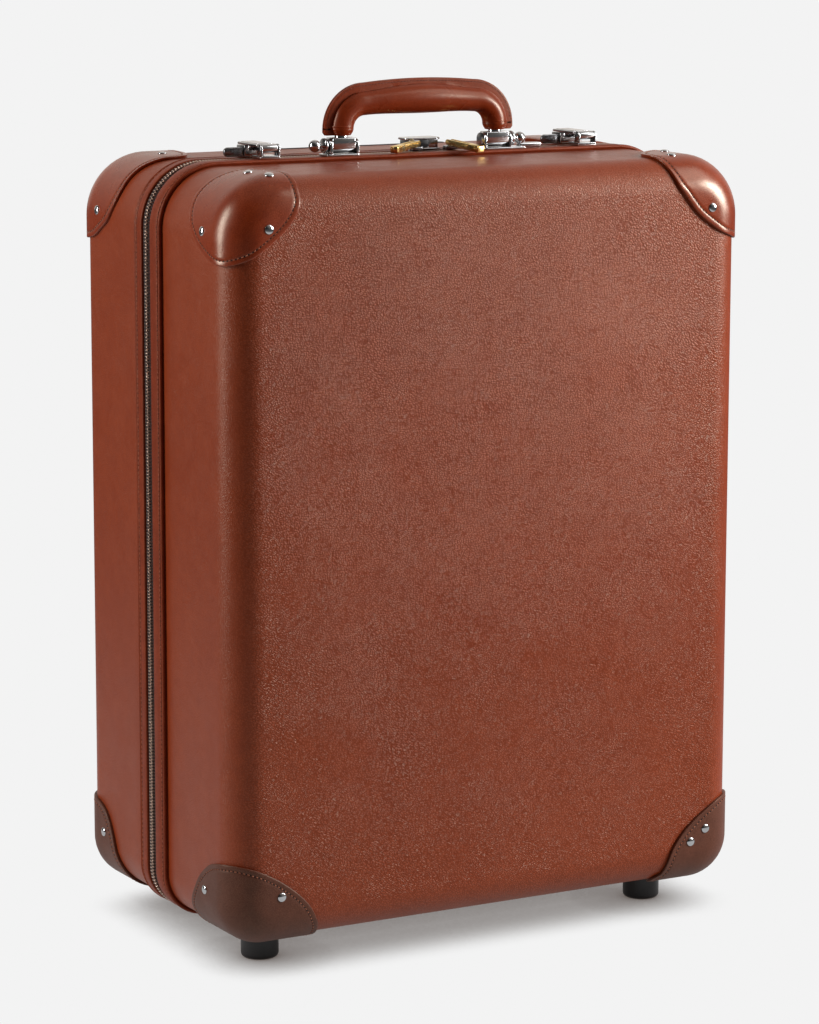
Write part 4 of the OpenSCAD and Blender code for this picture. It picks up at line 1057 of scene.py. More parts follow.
@dataclass
class WeltsAndZip:
    """The raised leather welts round both halves and the zip between them."""

    form: CaseForm
    joint_y: float = 4.0
    band: float = 2.9
    bead_r: float = 1.35
    stitch_in: float = 3.9
    groove: float = 0.35
    stitching: Stitching = Stitching(3.4, 2.1, 0.30, 0.42)
    tooth_pitch: float = 2.3
    tooth_base: float = 2.75
    teeth_out: float = 1.9
    hinge_gap: float = 2.0

    def section(self, half: Half) -> tuple[Array, Array, float, float]:
        """The welt's section from its zip edge to its bead.

        Args:
            half: Lid or back.

        Returns:
            Heights over the skin, depths y, the stitch row's height and its y.
        """
        low, high = node_box(half.word + "_welt")
        near, far = (high[1], low[1]) if half is Half.LID else (low[1], high[1])
        sign, top = half.value, high[2] - (self.form.mid_z + self.form.half_h)
        width = abs(far - near)
        bead = self.bead_r
        turn = np.linspace(math.radians(150), math.radians(-70), 9)
        points = [(0.0, 0.0), (0.0, self.band * 0.55), (0.12, self.band - 0.45), (0.45, self.band - 0.12),
                  (1.0, self.band)]
        row = width - self.stitch_in
        points += [(row - 0.8, self.band), (row - 0.35, self.band - 0.6 * self.groove), (row, self.band - self.groove),
                   (row + 0.35, self.band - 0.6 * self.groove), (row + 0.8, self.band)]
        centre = (width - bead, top - bead)
        points += [(centre[0] - bead - 0.1, self.band - 0.55)]
        points += [(centre[0] + bead * math.cos(a), centre[1] + bead * math.sin(a)) for a in turn]
        points += [(width - 0.15, 0.25), (width - 0.3, 0.0)]
        section = np.array(points)
        return section[:, 1], near + sign * section[:, 0], self.band - self.groove + 0.12, near + sign * row

    def welt(self, half: Half) -> None:
        """Make one welt and its row of stitches."""
        out, depth, row_out, row_y = self.section(half)
        rings = self.form.swept(self.form.stations(), out, depth)
        name = half.word + "_welt"
        add_piece(name + "_band", looped(rings), Finish.WELT, half.body, (name,), 60)
        run = np.arange(0, float(self.form.lengths.sum()), 2.0)
        base, normal = self.form.outline(run)
        flat = base + normal * row_out
        row = np.stack([flat[:, 0], np.full(len(run), row_y), flat[:, 1]], -1)
        up = np.stack([normal[:, 0], np.zeros(len(run)), normal[:, 1]], -1)
        add_stitches(name, [self.stitching.rows(row, up, closed=True)], Finish.THREAD, half.body)

    def tooth(self) -> Shell:
        """One tooth: along X its width, along Y from the tape to its rounded head, along Z its height."""
        along = np.array([0.0, 0.9, 1.7, 2.3, 2.75, 2.95])
        wide = np.array([0.62, 0.58, 0.50, 0.62, 0.50, 0.22])
        high = np.array([0.75, 0.80, 0.70, 0.85, 0.62, 0.30])
        turn = np.linspace(0, 2 * math.pi, 8, endpoint=False) + math.pi / 8
        square = 1.22
        rings = np.stack([np.clip(square * np.cos(turn), -1, 1) * wide[:, None],
                          np.broadcast_to(along[:, None], (6, 8)),
                          np.clip(square * np.sin(turn), -1, 1) * high[:, None]], -1)
        return lofted(rings)

    def teeth(self, half: Half) -> None:
        """Make one side's teeth, from one end of the hinge round the case to its other end."""
        opening = node_box("hinge_leaf_back")[1][0] + self.hinge_gap
        count = int((float(self.form.lengths.sum()) - 2 * opening) / self.tooth_pitch)
        shift = 0.0 if half is Half.LID else 0.5
        run = opening + (np.arange(count) + shift) * self.tooth_pitch
        base, normal = self.form.outline(run)
        flat = base + normal * self.teeth_out
        sign = half.value
        origins = np.stack([flat[:, 0], np.full(count, self.joint_y + sign * self.tooth_base), flat[:, 1]], -1)
        up = np.stack([normal[:, 0], np.zeros(count), normal[:, 1]], -1)
        toward = np.broadcast_to(np.array([0.0, -sign, 0.0]), (count, 3))
        bases = np.stack([np.cross(toward, up), toward, up], 1)
        name = half.word + "_zip_teeth"
        add_piece(name + "_row", self.tooth().placed(origins, bases), Finish.TEETH, half.body, (name,), 45)


# Carrying handle

@dataclass
class CarryHandle:
    """The rolled leather grip with its seam, the metal ends and the brackets."""

    leg_r: float = 8.8
    grip_r: float = 10.8
    neck_r: float = 6.9
    bend_r: float = 18.0
    arch: float = 2.2
    fin_h: float = 5.4
    fin_half: float = 2.0
    groove: float = 0.7
    leg_start: float = 7.0
    leg_full: float = 12.0
    section_points: int = 72
    pivot_z: float = 560.5
    ear_t: float = 2.2
    ear_out: float = 11.5
    end_half: float = 9.0
    end_r: float = 5.6
    ball_r: float = 4.4
    base_half: float = 7.25
    plate_t: float = 1.5
    seam_points: int = 240
    stitching: Stitching = Stitching(2.6, 1.5, 0.22, 0.24)

    def __post_init__(self) -> None:
        """Take the handle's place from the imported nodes."""
        low, high = node_box("handle_ends")
        self.leg_x = (high[0] - low[0]) / 2 - self.end_half
        self.y = (low[1] + high[1]) / 2
        grip_low, grip_high = node_box("handle_grip")
        self.grip_z = grip_high[2] - self.leg_r - self.fin_h - 0.3
        self.base_z = node_box("handle_bracket_left")[0][2]

    def spine(self) -> tuple[Array, Array, Array]:
        """The grip's centre line: a leg, a quarter circle, the gently arched grip, a quarter circle and a leg.

        Returns:
            Points (x, z), outward directions (x, z) and radii along the line.
        """
        straight, bend_z = self.leg_x - self.bend_r, self.grip_z - self.bend_r - self.arch
        start, full = self.pivot_z + self.leg_start, self.pivot_z + self.leg_full
        leg_z = np.concatenate([np.linspace(start, full, 6), np.linspace(full, bend_z, 4)[1:]])
        leg = np.stack([np.full(len(leg_z), self.leg_x), leg_z], -1)
        turn = np.linspace(0, math.pi / 2, 16)[1:]
        arc = np.stack([straight + self.bend_r * np.cos(turn), bend_z + self.bend_r * np.sin(turn)], -1)
        reach = np.linspace(1, 0, 20)[1:]
        across = np.stack([straight * reach, self.grip_z - self.arch * reach ** 2], -1)
        right = np.concatenate([leg, arc, across])
        outward = np.concatenate([np.tile([1.0, 0.0], (len(leg), 1)), np.stack([np.cos(turn), np.sin(turn)], -1),
                                  np.tile([0.0, 1.0], (19, 1))])
        rise = np.clip((leg_z - start) / (full - start), 0, 1)
        leg_radius = self.neck_r + (self.leg_r - self.neck_r) * np.sin(rise * math.pi / 2)
        band = (leg_z > start + 1.5) & (leg_z < full - 0.4)
        leg_radius = np.where(band, leg_radius + 0.15, leg_radius)
        swell = self.grip_r - self.leg_r
        middle = self.leg_r + swell * np.cos(across[:, 0] / straight * math.pi / 2) ** 1.6
        radius = np.concatenate([leg_radius, np.full(len(arc), self.leg_r), middle])
        mirror = np.array([-1.0, 1.0])
        return (np.concatenate([right, (right[:-1] * mirror)[::-1]]),
                np.concatenate([outward, (outward[:-1] * mirror)[::-1]]),
                np.concatenate([radius, radius[:-1][::-1]]))

    def grip(self) -> None:
        """Make the grip.

        Round each section the distance from the centre is the tube's radius, except near the outside, where it is
        the fin's flat side, fin_half / sin a, as far as the fin's rounded edge. A bell curve of the angle draws in
        the groove beside the fin.
        """
        line, outward, radius = self.spine()
        half = self.section_points // 2
        a = math.pi * (np.arange(self.section_points) + 0.5) / half
        a = a - 0.55 * np.sin(a) - 0.16 * np.sin(2 * a)
        fin_side = self.fin_half / np.maximum(np.abs(np.sin(a)), 1e-6)
        tip = (self.leg_r + self.fin_h * self.fin_share(line)[:, None])
        edge = np.abs(np.tan(np.clip(a, -1.4, 1.4)))
        tip = tip - 0.35 * np.clip(edge * tip / self.fin_half, 0, 1) ** 4
        fin = np.where(np.cos(a)[None] > 0, np.minimum(fin_side[None], tip / np.maximum(np.cos(a), 0.05)[None]), 0)
        off = (np.abs(np.arctan2(np.sin(a), np.cos(a)))[None] - self.fin_half / radius[:, None] - 0.05) / 0.07
        distance = np.maximum(radius[:, None] - self.groove * np.exp(-off * off), fin)
        out = distance * np.cos(a)[None]
        side = distance * np.sin(a)[None]
        rings = np.stack([line[:, 0, None] + outward[:, 0, None] * out, self.y + side,
                          line[:, 1, None] + outward[:, 1, None] * out], -1)
        add_piece("rolled_grip", lofted(rings), Finish.GRIP, "carry_handle", ("handle_grip",), 38)
        self.fin_seam(line, outward, radius)
        self.leg_bands()

    def fin_share(self, line: Array) -> Array:
        """How far the fin stands out along the line: it tapers away at the bottom of each leg."""
        above = (line[:, 1] - self.pivot_z - self.leg_start) / 6.0
        return np.clip(0.7 + above, 0, 1)

    def fin_seam(self, line: Array, outward: Array, radius: Array) -> None:
        """Make the sewn seam of the fin: a row of stitches on each of its faces."""
        keep = slice(4, len(line) - 4)
        line, outward, radius = line[keep], outward[keep], radius[keep]
        run, count = travelled(line), self.seam_points
        fine = np.linspace(0, run[-1], count)
        line, outward = sampled(fine, run, line), unit(sampled(fine, run, outward))
        out = np.maximum(np.interp(fine, run, radius) + 1.0, self.leg_r + self.fin_h - 2.0)[:, None]
        place, rows = line + outward * out, []
        for sign in (-1.0, 1.0):
            face = np.full(count, self.y + sign * (self.fin_half - 0.02))
            row = np.stack([place[:, 0], face, place[:, 1]], -1)
            rows.append(self.stitching.rows(row, np.tile([0.0, sign, 0.0], (count, 1))))
        add_stitches("grip", rows, Finish.GRIP_THREAD, "carry_handle")

    def leg_bands(self) -> None:
        """Make the thin ring of leather sewn round the foot of each leg."""
        profile = np.array([(0.0, 0.0), (0.25, 0.25), (0.3, 0.6), (0.25, 0.95), (0.0, 1.2)])
        inner = self.leg_r - 0.5
        bands = []
        for side in Side:
            out = np.concatenate([[inner], self.leg_r - 0.1 + profile[:, 0], [inner]])
            up = np.concatenate([[0.0], profile[:, 1], [1.2]])
            bands.append(revolved(np.stack([out, up], -1), 40).moved(
                (side.value * self.leg_x, self.y, self.pivot_z + self.leg_full + 0.6)))
        add_piece("leg_bands", Shell.joined(bands), Finish.GRIP, "carry_handle")

    def ends(self) -> None:
        """Make the metal ends: a hinge barrel with a squared top, and the ferrule that the leather sits on."""
        shells, half, r = [], self.end_half, self.end_r
        for side in Side:
            at = (side.value * self.leg_x, self.y, self.pivot_z)
            low, high = np.array(at) - (half, r, 1.2), np.array(at) + (half, r, 5.5)
            shells.append(rounded_box(low, high, 0.8))
            shells.append(turned(rod(r, -half, half, 0.5, 40), ALONG_X, at))
            shells.append(rod(4.6, 4.0, 7.4, 0.4).moved(at))
        add_piece("grip_ends", Shell.joined(shells), Finish.CHROME, "carry_handle", ("handle_ends",))

    def bracket(self, side: Side) -> None:
        """Make one bracket: base plate, two ears, the pin's collar and ball, and the right one's tongue."""
        x, s, z = side.value * self.leg_x, side.value, self.base_z
        name, half = f"handle_bracket_{side.word}", self.base_half
        tail = 11.0 if side is Side.RIGHT else 3.0
        reach = sorted((x - s * self.ear_out, x + s * (self.ear_out + tail)))
        outline = rounded_outline((reach[0], self.y - half), (reach[1], self.y + half), (1.6,) * 4)
        shells = [slab(outline, z, z + self.plate_t, 0.45)]
        for inner in (-self.ear_out, 9.3):
            ear = sorted((x + s * inner, x + s * (inner + self.ear_t)))
            turn = np.linspace(0, math.pi, 18)
            top = np.stack([self.y + 6.0 * np.cos(turn), self.pivot_z + 5.0 * np.sin(turn) ** 0.8], -1)
            foot = np.array([[self.y - 6.0, z + 1.3], [self.y + 6.0, z + 1.3]])
            shells.append(slab(np.concatenate([foot, top]), ear[0], ear[1], 0.4, axis=0))
        axis = ALONG_X * s
        axis[0] *= s
        at = (x, self.y, self.pivot_z)
        shells.append(turned(rod(2.0, -11.0, 20.0, 0.2), axis, at))
        shells.append(turned(rod(5.4, 12.4, 14.6, 0.7, 40), axis, at))
        ball = np.linspace(-math.pi / 2 + 0.05, math.pi / 2 - 0.05, 17)
        profile = np.stack([self.ball_r * np.cos(ball), 20.8 + self.ball_r * np.sin(ball)], -1)
        shells.append(turned(revolved(profile, 36), axis, at))
        if side is Side.RIGHT:
            low = (x + self.ear_out + tail - 0.4, self.y + half - 6.0, z)
            shells.append(rounded_box(low, (node_box(name)[1][0], self.y + half, z + 3.4), 1.2))
        add_piece(name + "_metal", Shell.joined(shells), Finish.CHROME, "lid", (name,))


# Latches

@dataclass
class Latches:
    """The two flap latches: base, hasp, lock and thumb slide."""

    hasp_t: float = 2.0
    barrel_r: float = 3.0
    pin_r: float = 1.2
    ear_t: float = 1.5
    base_t: float = 2.4
    tongue_w: float = 7.0
    tongue_t: float = 2.4
    tongue_in: float = 6.6
    channel_gap: float = 0.5
    channel_h: float = 3.4
    channel_end: float = 10.4
    tab_t: float = 2.6

    def build(self, side: Side) -> None:
        """Make one latch.

        Args:
            side: Which of the two.
        """
        low, high = node_box(f"hasp_{side.word}")
        self.hasp(side, low, high)
        self.lock(side, (low[0] + high[0]) / 2)
        self.slide(side, low[0])

    def axis(self, low: Array, high: Array) -> tuple[float, float]:
        """The y and z of a hasp's pin, from the hasp's lowest and highest corner."""
        return low[1] + self.barrel_r, high[2] - self.barrel_r

    def bases(self) -> None:
        """Make both bases in one piece: a plate with two ears and a pin each."""
        shells = []
        (_, y0, z), (_, y1, _) = node_box("hasp_bases")
        for side in Side:
            low, high = node_box(f"hasp_{side.word}")
            axis_y, axis_z = self.axis(low, high)
            shells.append(rounded_box((low[0], y0, z), (high[0], y1, z + self.base_t), 0.5))
            for ear in ((low[0], low[0] + self.ear_t), (high[0] - self.ear_t, high[0])):
                shells.append(self.ear(axis_y, axis_z, z + 2.0, ear))
            shells.append(turned(rod(self.pin_r, low[0] + 0.2, high[0] - 0.2, 0.1), ALONG_X, (0, axis_y, axis_z)))
        add_piece("latch_base_plates", Shell.joined(shells), Finish.CHROME, "lid", ("hasp_bases",))

    def ear(self, axis_y: float, axis_z: float, z: float, span: tuple[float, float]) -> Shell:
        """A round-topped ear that holds a hasp's pin."""
        turn = np.linspace(0, math.pi, 16)
        top = np.stack([axis_y + self.barrel_r * np.cos(turn), axis_z + self.barrel_r * np.sin(turn)], -1)
        foot = np.array([[axis_y - self.barrel_r, z], [axis_y + self.barrel_r, z]])
        return slab(np.concatenate([foot, top]), span[0], span[1], 0.3, axis=0)

    def hasp(self, side: Side, low: Array, high: Array) -> None:
        """Make one hasp: barrel, plate with a raised panel, and the tongue that enters the lock."""
        (x0, _, tongue_low), (x1, end, top) = low, high
        axis_y, axis_z = self.axis(low, high)
        inner = (x0 + 1.7, x1 - 1.7)
        shells = [turned(rod(self.barrel_r, inner[0], inner[1], 0.35, 40), ALONG_X, (0, axis_y, axis_z))]
        start = axis_y + self.barrel_r + 0.4
        outline = rounded_outline((x0, start), (x1, end), (0.6, 0.6, 2.6, 2.6))
        shells.append(slab(outline, top - self.hasp_t, top - 0.35, 0.45))
        panel = rounded_outline((x0 + 1.8, start + 1.6), (x1 - 1.8, end - 2.2), (1.2, 1.2, 2.0, 2.0))
        shells.append(slab(panel, top - 0.6, top, 0.3))
        neck = rounded_outline((inner[0], axis_y), (inner[1], start + 0.6), (0.1,) * 4)
        shells.append(slab(neck, top - self.hasp_t, top - 0.35, 0.2))
        middle, half = (x0 + x1) / 2, self.tongue_w / 2
        tongue_y = node_box(f"latch_lock_{side.word}")[0][1] + self.tongue_in
        shells.append(rounded_box((middle - half, tongue_y, max(tongue_low, top - 5.0)),
                                  (middle + half, tongue_y + self.tongue_t, top - self.hasp_t + 0.3), 0.4))
        name = f"hasp_{side.word}"
        add_piece(name + "_metal", Shell.joined(shells), Finish.CHROME, name, (name,))

    def lock(self, side: Side, middle: float) -> None:
        """Make one lock case: two cheeks, a back and a floor round the tongue's channel."""
        low, high = node_box(f"latch_lock_{side.word}")
        half, floor = self.tongue_w / 2 + self.channel_gap, high[2] - self.channel_h
        shells = [rounded_box((low[0], low[1], low[2]), (high[0], high[1], floor), 0.5),
                  rounded_box((low[0], low[1], floor - 1.0), (middle - half, high[1], high[2]), 0.5),
                  rounded_box((middle + half, low[1], floor - 1.0), (high[0], high[1], high[2]), 0.5),
                  rounded_box((middle - half - 1.0, low[1] + self.channel_end, floor - 1.0),
                              (middle + half + 1.0, high[1], high[2]), 0.5)]
        name = f"latch_lock_{side.word}"
        add_piece(name + "_case", Shell.joined(shells), Finish.CHROME, "root", (name,))

    def slide(self, side: Side, x0: float) -> None:
        """Make one thumb slide: a standing tab with a round end, and its neck."""
        low, high = node_box(f"latch_slide_{side.word}")
        h = high[2] - low[2]
        outline = rounded_outline((low[0], low[2]), (x0 - 0.6, high[2]), (h * 0.49, 0.8, 1.4, h * 0.49), 8)
        plate = slab(outline, low[1], low[1] + self.tab_t, 0.6, axis=1)
        neck = rounded_box((x0 - 4.0, low[1] + 1.8, low[2] + 1.4), (high[0], high[1], low[2] + 3.6), 0.3)
        name = f"latch_slide_{side.word}"
        add_piece(name + "_tab", Shell.joined([plate, neck]), Finish.DARK_CHROME, name, (name,))


# Lock and zip pulls

@dataclass
class ZipLock:
    """The lock between the latches, its button, and the two zip sliders with their pulls."""

    plate_t: float = 1.5
    root_h: float = 4.0
    pull_h: float = 5.0
    pull_w: float = 6.0
    pull_l: float = 36.0
    slot_end: float = 23.0
    slot_half: float = 1.3
    slider_half: float = 5.0

    def hinge(self, side: Side) -> tuple[Array, Array]:
        """The place in millimetres and the axis of the joint between a slider and its pull."""
        joint = next(j for j in frame["joints"] if j["name"] == f"pull_lift_{side.word}")
        return np.array(joint["pos_m"]) / MM, np.array(joint["axis"])

    def case(self) -> None:
        """Make the lock's case with its round-cornered top plate and the button's window."""
        low, high = node_box("zip_lock_case")
        button_low, button_high = node_box("zip_lock_button")
        x = (low[0] + high[0]) / 2
        half = (high[0] - low[0]) / 2 - 3.0
        front = low[1] + 0.4
        gap = 0.12
        body_top = high[2] - self.plate_t + 0.1
        left, right = button_low[0] - gap, button_high[0] + gap
        back = high[1] - 0.6
        shells = [rounded_box((x - half, front, low[2]), (left, back, body_top), 0.5),
                  rounded_box((right, front, low[2]), (x + half, back, body_top), 0.5),
                  rounded_box((left - 0.6, front, low[2]), (right + 0.6, back, button_low[2] - gap), 0.3),
                  rounded_box((left - 0.6, front + 9.5, low[2]), (right + 0.6, back, body_top), 0.3),
                  rounded_box((left - 0.6, front, button_high[2] + gap), (right + 0.6, back, body_top + 0.2), 0.1)]
        foot = rounded_outline((x - half - 1.5, low[1]), (x + half + 1.5, back), (0.6,) * 4)
        shells.append(slab(foot, low[2], low[2] + 1.0, 0.3))
        plate = rounded_outline((low[0], low[1]), (high[0], high[1]), (4.6,) * 4, 8)
        shells.append(slab(plate, high[2] - self.plate_t, high[2], 0.6))
        add_piece("zip_lock_body", Shell.joined(shells), Finish.CHROME, "root", ("zip_lock_case",))

    def button(self) -> None:
        """Make the black push button with a small raised bar on its face."""
        low, high = node_box("zip_lock_button")
        middle = (low + high) / 2
        shells = [rounded_box(low + (0, 0.25, 0), high, 0.5),
                  rounded_box((middle[0] - 2.0, low[1], middle[2] - 0.5), (middle[0] + 2.0, low[1] + 1.0,
                                                                           middle[2] + 0.5), 0.2)]
        add_piece("lock_push_button", Shell.joined(shells), Finish.PLASTIC, "lock_button",
                  ("zip_lock_button",))

    def slider(self, side: Side) -> None:
        """Make one slider: a waisted plate over the teeth, its rear wall, and the post that holds the pull."""
        pivot, axis = self.hinge(side)
        low, high = node_box(f"zip_slider_{side.word}")
        x, half = pivot[0], high[1] - pivot[1]
        plate_low = low[2] + 2.05
        turn = np.linspace(0, 2 * math.pi, 48, endpoint=False)
        waist = 1 - 0.16 * np.cos(turn) ** 2
        power = 0.42
        outline = np.stack([x + self.slider_half * np.sign(np.cos(turn)) * np.abs(np.cos(turn)) ** power,
                            pivot[1] + half * waist * np.sign(np.sin(turn)) * np.abs(np.sin(turn)) ** power], -1)
        shells = [slab(outline, plate_low, plate_low + 2.5, 0.5),
                  rounded_box((x - 4.4, high[1] - 1.0, low[2]), (x + 4.4, high[1] - 0.1, plate_low + 0.6), 0.3)]
        forward = np.array([axis[1], -axis[0], 0.0]) * -1
        basis = np.stack([forward, np.array([-forward[1], forward[0], 0.0]), np.array([0.0, 0.0, 1.0])])
        post = rounded_box((-2.0, -0.95, plate_low + 2.0 - pivot[2]), (2.0, 0.95, 1.6), 0.6)
        pin = turned(rod(0.9, -2.5, 2.5, 0.1, 16), ALONG_Y, (0, 0, 0))
        shells += [turned(post, basis, tuple(pivot)), turned(pin, basis, tuple(pivot))]
        name = f"zip_slider_{side.word}"
        add_piece(name + "_metal", Shell.joined(shells), Finish.DARK_CHROME, f"slider_{side.word}",
                  (name,))

    def pull(self, side: Side) -> None:
        """Make one pull: a fork of two bars that joins into a solid thumb end."""
        pivot, axis = self.hinge(side)
        low = node_box(f"zip_pull_{side.word}")[0]
        forward = np.array([-axis[1], axis[0], 0.0])
        drop = math.asin((pivot[2] - low[2] - self.pull_h / 2) / self.pull_l)
        across = np.array([-forward[1], forward[0], 0.0])
        ahead = forward * math.cos(drop) - np.array([0, 0, 1.0]) * math.sin(drop)
        basis = np.stack([ahead, across, np.cross(ahead, across)])
        shells = []
        for y0, y1 in ((-self.pull_w / 2, -self.slot_half), (self.slot_half, self.pull_w / 2)):
            turn = np.linspace(math.pi / 2, 3 * math.pi / 2, 14)
            round_end = np.stack([self.root_h / 2 * np.cos(turn), self.root_h / 2 * np.sin(turn)], -1)
            tip = self.root_h / 2 + (self.pull_h - self.root_h) / 2 * self.slot_end / self.pull_l
            outline = np.concatenate([round_end, [[self.slot_end + 1.0, -tip], [self.slot_end + 1.0, tip]]])
            shells.append(slab(outline, y0, y1, 0.4, axis=1))
        thumb_r = 1.0
        far = np.array([[self.slot_end, -2.3], [self.pull_l - thumb_r, -self.pull_h / 2],
                        [self.pull_l - 0.3, -self.pull_h / 2 + 0.3], [self.pull_l, -self.pull_h / 2 + thumb_r],
                        [self.pull_l, self.pull_h / 2 - thumb_r], [self.pull_l - 0.3, self.pull_h / 2 - 0.3],
                        [self.pull_l - thumb_r, self.pull_h / 2], [self.slot_end, 2.3]])
        shells.append(slab(far, -self.pull_w / 2, self.pull_w / 2, 0.5, axis=1))
        name = f"zip_pull_{side.word}"
        add_piece(name + "_metal", turned(Shell.joined(shells), basis, tuple(pivot)), Finish.BRASS,
                  f"pull_{side.word}", (name,))


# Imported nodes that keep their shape

NODE_FINISHES: dict[Finish, tuple[str, ...]] = {
    Finish.BOARD: ("back_board", "lid_board"),
    Finish.LINING: ("back_lining", "lid_lining", "tow_cover"),
    Finish.TAPE: ("back_zip_tape", "lid_zip_tape"),
    Finish.RUBBER: ("lid_foot_left", "lid_foot_right"),
    Finish.TYRE: ("wheel_tyre_left", "wheel_tyre_right"),
    Finish.PLASTIC: ("wheel_hub_left", "wheel_hub_right", "wheel_housing_left", "wheel_housing_right", "tow_bezel",
                     "tow_grip", "tow_button"),
    Finish.CHROME: ("wheel_axles", "tow_middle_tubes", "tow_inner_tubes"),
    Finish.TUBE: ("tow_outer_tubes",),
    Finish.HINGE: ("hinge_leaf_back", "hinge_leaf_front", "strap_buckle", "hinge_pin"),
    Finish.STRAP: ("packing_strap",),
}


# Studio

@dataclass(frozen=True)
class Softbox:
    """A rectangular lamp that faces the case."""

    name: str
    place: tuple[float, float, float]
    aim: tuple[float, float, float]
    size: tuple[float, float]
    watts: float

    def build(self) -> None:
        """Put the lamp into the scene."""
        data = bpy.data.lights.new(self.name, "AREA")
        data.shape, data.energy = "RECTANGLE", self.watts
        data.size, data.size_y = self.size
        lamp = linked(self.name, data)
        lamp.visible_camera = False
        lamp.location = self.place
        lamp.rotation_euler = (Vector(self.aim) - Vector(self.place)).to_track_quat("-Z", "Y").to_euler()


@dataclass(frozen=True)
class Glow:
    """A bright part of the surroundings: its direction, how near it the light starts and is full, and its strength."""

    toward: tuple[float, float, float]
    start: float
    full: float
    strength: float


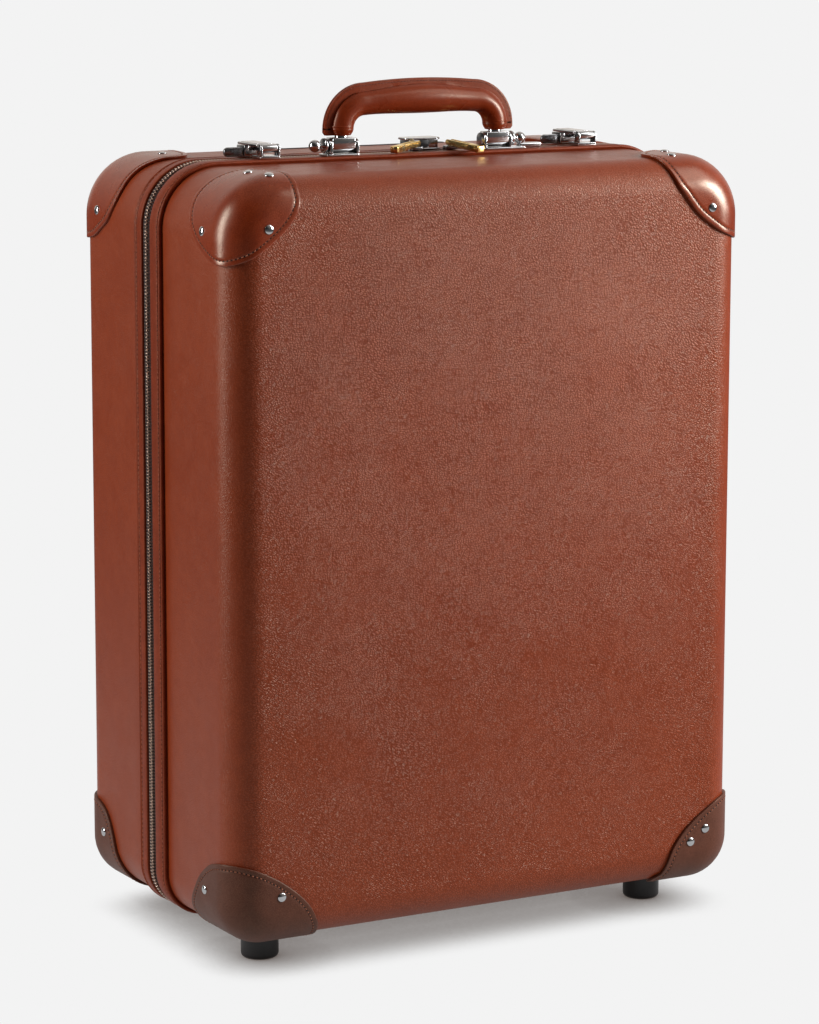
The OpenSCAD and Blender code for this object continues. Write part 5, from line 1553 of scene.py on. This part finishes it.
@dataclass
class Studio:
    """Pale floor, soft light and the camera."""

    camera_place: tuple[float, float, float] = (-1.3003, -2.3248, 0.7661)
    yaw_deg: float = 29.2
    pitch_deg: float = 10.09
    roll_deg: float = 0.11
    lens_mm: float = 131.3
    floor_size: float = 40.0
    pale: float = 0.896
    dim: float = 0.03
    # reach and colour of the floor's painted contact shadow, and the strength of the glow it sheds on the case
    contact: float = 0.045
    sheet: float = 0.65
    under_colour: Colour = (0.085, 0.060, 0.048)
    glow_colour: tuple[float, float, float, float] = (1.0, 0.93, 0.86, 1.0)
    glows: tuple[Glow, ...] = (
        Glow((0.0, 0.1, 1.0), 0.70, 1.0, 0.22),
        Glow((0.45, 0.86, 0.25), 0.45, 0.95, 0.8),
        Glow((0.62, -0.42, 0.66), 0.45, 1.0, 0.25),
    )
    lamps: tuple[Softbox, ...] = (
        Softbox("left_key", (-1.54, 0.36, 0.90), (-0.2, 0.0, 0.45), (0.36, 1.2), 21),
        Softbox("right_key", (1.20, -0.76, 0.74), (0.08, -0.12, 0.44), (0.45, 0.45), 17),
        Softbox("right_high", (1.04, -0.85, 1.62), (0.0, -0.12, 0.35), (0.9, 0.9), 7),
        Softbox("right_band", (1.27, -1.06, 0.98), (0.10, -0.12, 0.50), (0.3, 0.25), 10.5),
    )

    def floor(self) -> None:
        """Make the floor: it glows an even pale grey, with painted shadow that darkens it where the case stands close
        over it.

        For everything but the eye, its glow also lights the case in place of light bounced off the floor, and it grows
        dim away from the case.
        """
        half = self.floor_size / 2
        mesh = bpy.data.meshes.new("floor")
        mesh.from_pydata([(-half, -half, 0), (half, -half, 0), (half, half, 0), (-half, half, 0)], [], [(0, 1, 2, 3)])
        floor = linked("floor", mesh)
        r = Recipe("pale_floor")
        # painted shadow: ambient occlusion darkens the floor's glow towards a dark colour where the case stands close
        # over it
        near = r.step("ShaderNodeAmbientOcclusion", {"Distance": self.contact}, samples=12).outputs["AO"]
        tone = r.mixed(r.spread(near, 0.0, 0.78), self.under_colour, (self.pale,) * 3)
        # the glow seen by rays other than the eye stands in for light bounced off the floor, and fades away from the
        # case
        away = r.step("ShaderNodeVectorMath", {0: r.place}, operation="LENGTH").outputs["Value"]
        seen = r.step("ShaderNodeLightPath").outputs["Is Camera Ray"]
        level = r.maths("MAXIMUM", seen, r.spread(away, 0.5, 1.5, self.sheet, 0.1))
        mesh.materials.append(r.finish(Base_Color=(0.0, 0.0, 0.0), Roughness=1.0, Specular_IOR_Level=0.0,
                                       Emission_Color=tone, Emission_Strength=level))

    def world(self) -> None:
        """Make the surroundings: the eye sees an even pale grey, and the case is lit by a few soft glows."""
        world = bpy.data.worlds.new("studio")
        bpy.context.scene.world = world
        world.use_nodes = True
        r = Nodes(world.node_tree)
        direction = r.step("ShaderNodeTexCoord").outputs["Generated"]
        total = self.dim
        for glow in self.glows:
            close = r.step("ShaderNodeVectorMath", {0: direction, 1: tuple(unit(np.array(glow.toward)))},
                           operation="DOT_PRODUCT").outputs["Value"]
            total = r.maths("ADD", total, r.spread(close, glow.start, glow.full, 0.0, glow.strength))
        light = r.tree.nodes["Background"]
        light.inputs["Color"].default_value = self.glow_colour
        r.join(light.inputs["Strength"], total)
        seen = r.step("ShaderNodeBackground", {"Color": (self.pale, self.pale, self.pale, 1)})
        eye = r.step("ShaderNodeLightPath").outputs["Is Camera Ray"]
        mix = r.step("ShaderNodeMixShader", {0: eye, 1: light.outputs[0], 2: seen.outputs[0]})
        r.join(r.tree.nodes["World Output"].inputs["Surface"], mix.outputs[0])

    def camera(self) -> None:
        """Stand the camera where the photograph was taken from."""
        data = bpy.data.cameras.new("camera")
        data.lens, data.sensor_width = self.lens_mm, 36.0
        camera = linked("camera", data)
        turn = (Matrix.Rotation(math.radians(-self.yaw_deg), 4, "Z")
                @ Matrix.Rotation(math.radians(90 - self.pitch_deg), 4, "X")
                @ Matrix.Rotation(math.radians(self.roll_deg), 4, "Z"))
        camera.matrix_world = Matrix.Translation(self.camera_place) @ turn
        bpy.context.scene.camera = camera

    def build(self) -> None:
        """Make the whole studio."""
        self.floor()
        self.world()
        self.camera()
        for lamp in self.lamps:
            lamp.build()
        bpy.context.scene.view_settings.view_transform = "Standard"


def main() -> None:
    """Build the case's pieces in order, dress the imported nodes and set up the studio."""
    logging.basicConfig(level=logging.INFO, format="%(name)s: %(message)s")
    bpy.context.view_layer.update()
    Studio().build()
    form = CaseForm()
    skins, caps, zips = Skins(form), CornerCaps(form), WeltsAndZip(form)
    front = {(Level.TOP, Side.LEFT): FRONT_TOP_LEFT, (Level.TOP, Side.RIGHT): FRONT_TOP_RIGHT,
             (Level.BOTTOM, Side.LEFT): FRONT_BOTTOM_LEFT, (Level.BOTTOM, Side.RIGHT): FRONT_BOTTOM_RIGHT}
    back = {(level, side): BACK_TOP if level is Level.TOP else BACK_BOTTOM for level in Level for side in Side}
    for half, shapes in ((Half.LID, front), (Half.BACK, back)):
        skins.build(half)
        zips.welt(half)
        zips.teeth(half)
        for (level, side), shape in shapes.items():
            caps.build(half, level, side, shape)
        caps.rivets(half, shapes)
    handle = CarryHandle()
    handle.grip()
    handle.ends()
    latches, lock = Latches(), ZipLock()
    latches.bases()
    lock.case()
    lock.button()
    for side in Side:
        handle.bracket(side)
        latches.build(side)
        lock.slider(side)
        lock.pull(side)
    for finish, nodes in NODE_FINISHES.items():
        for node in nodes:
            dress_node(node, finish)


if __name__ == "__main__":
    main()
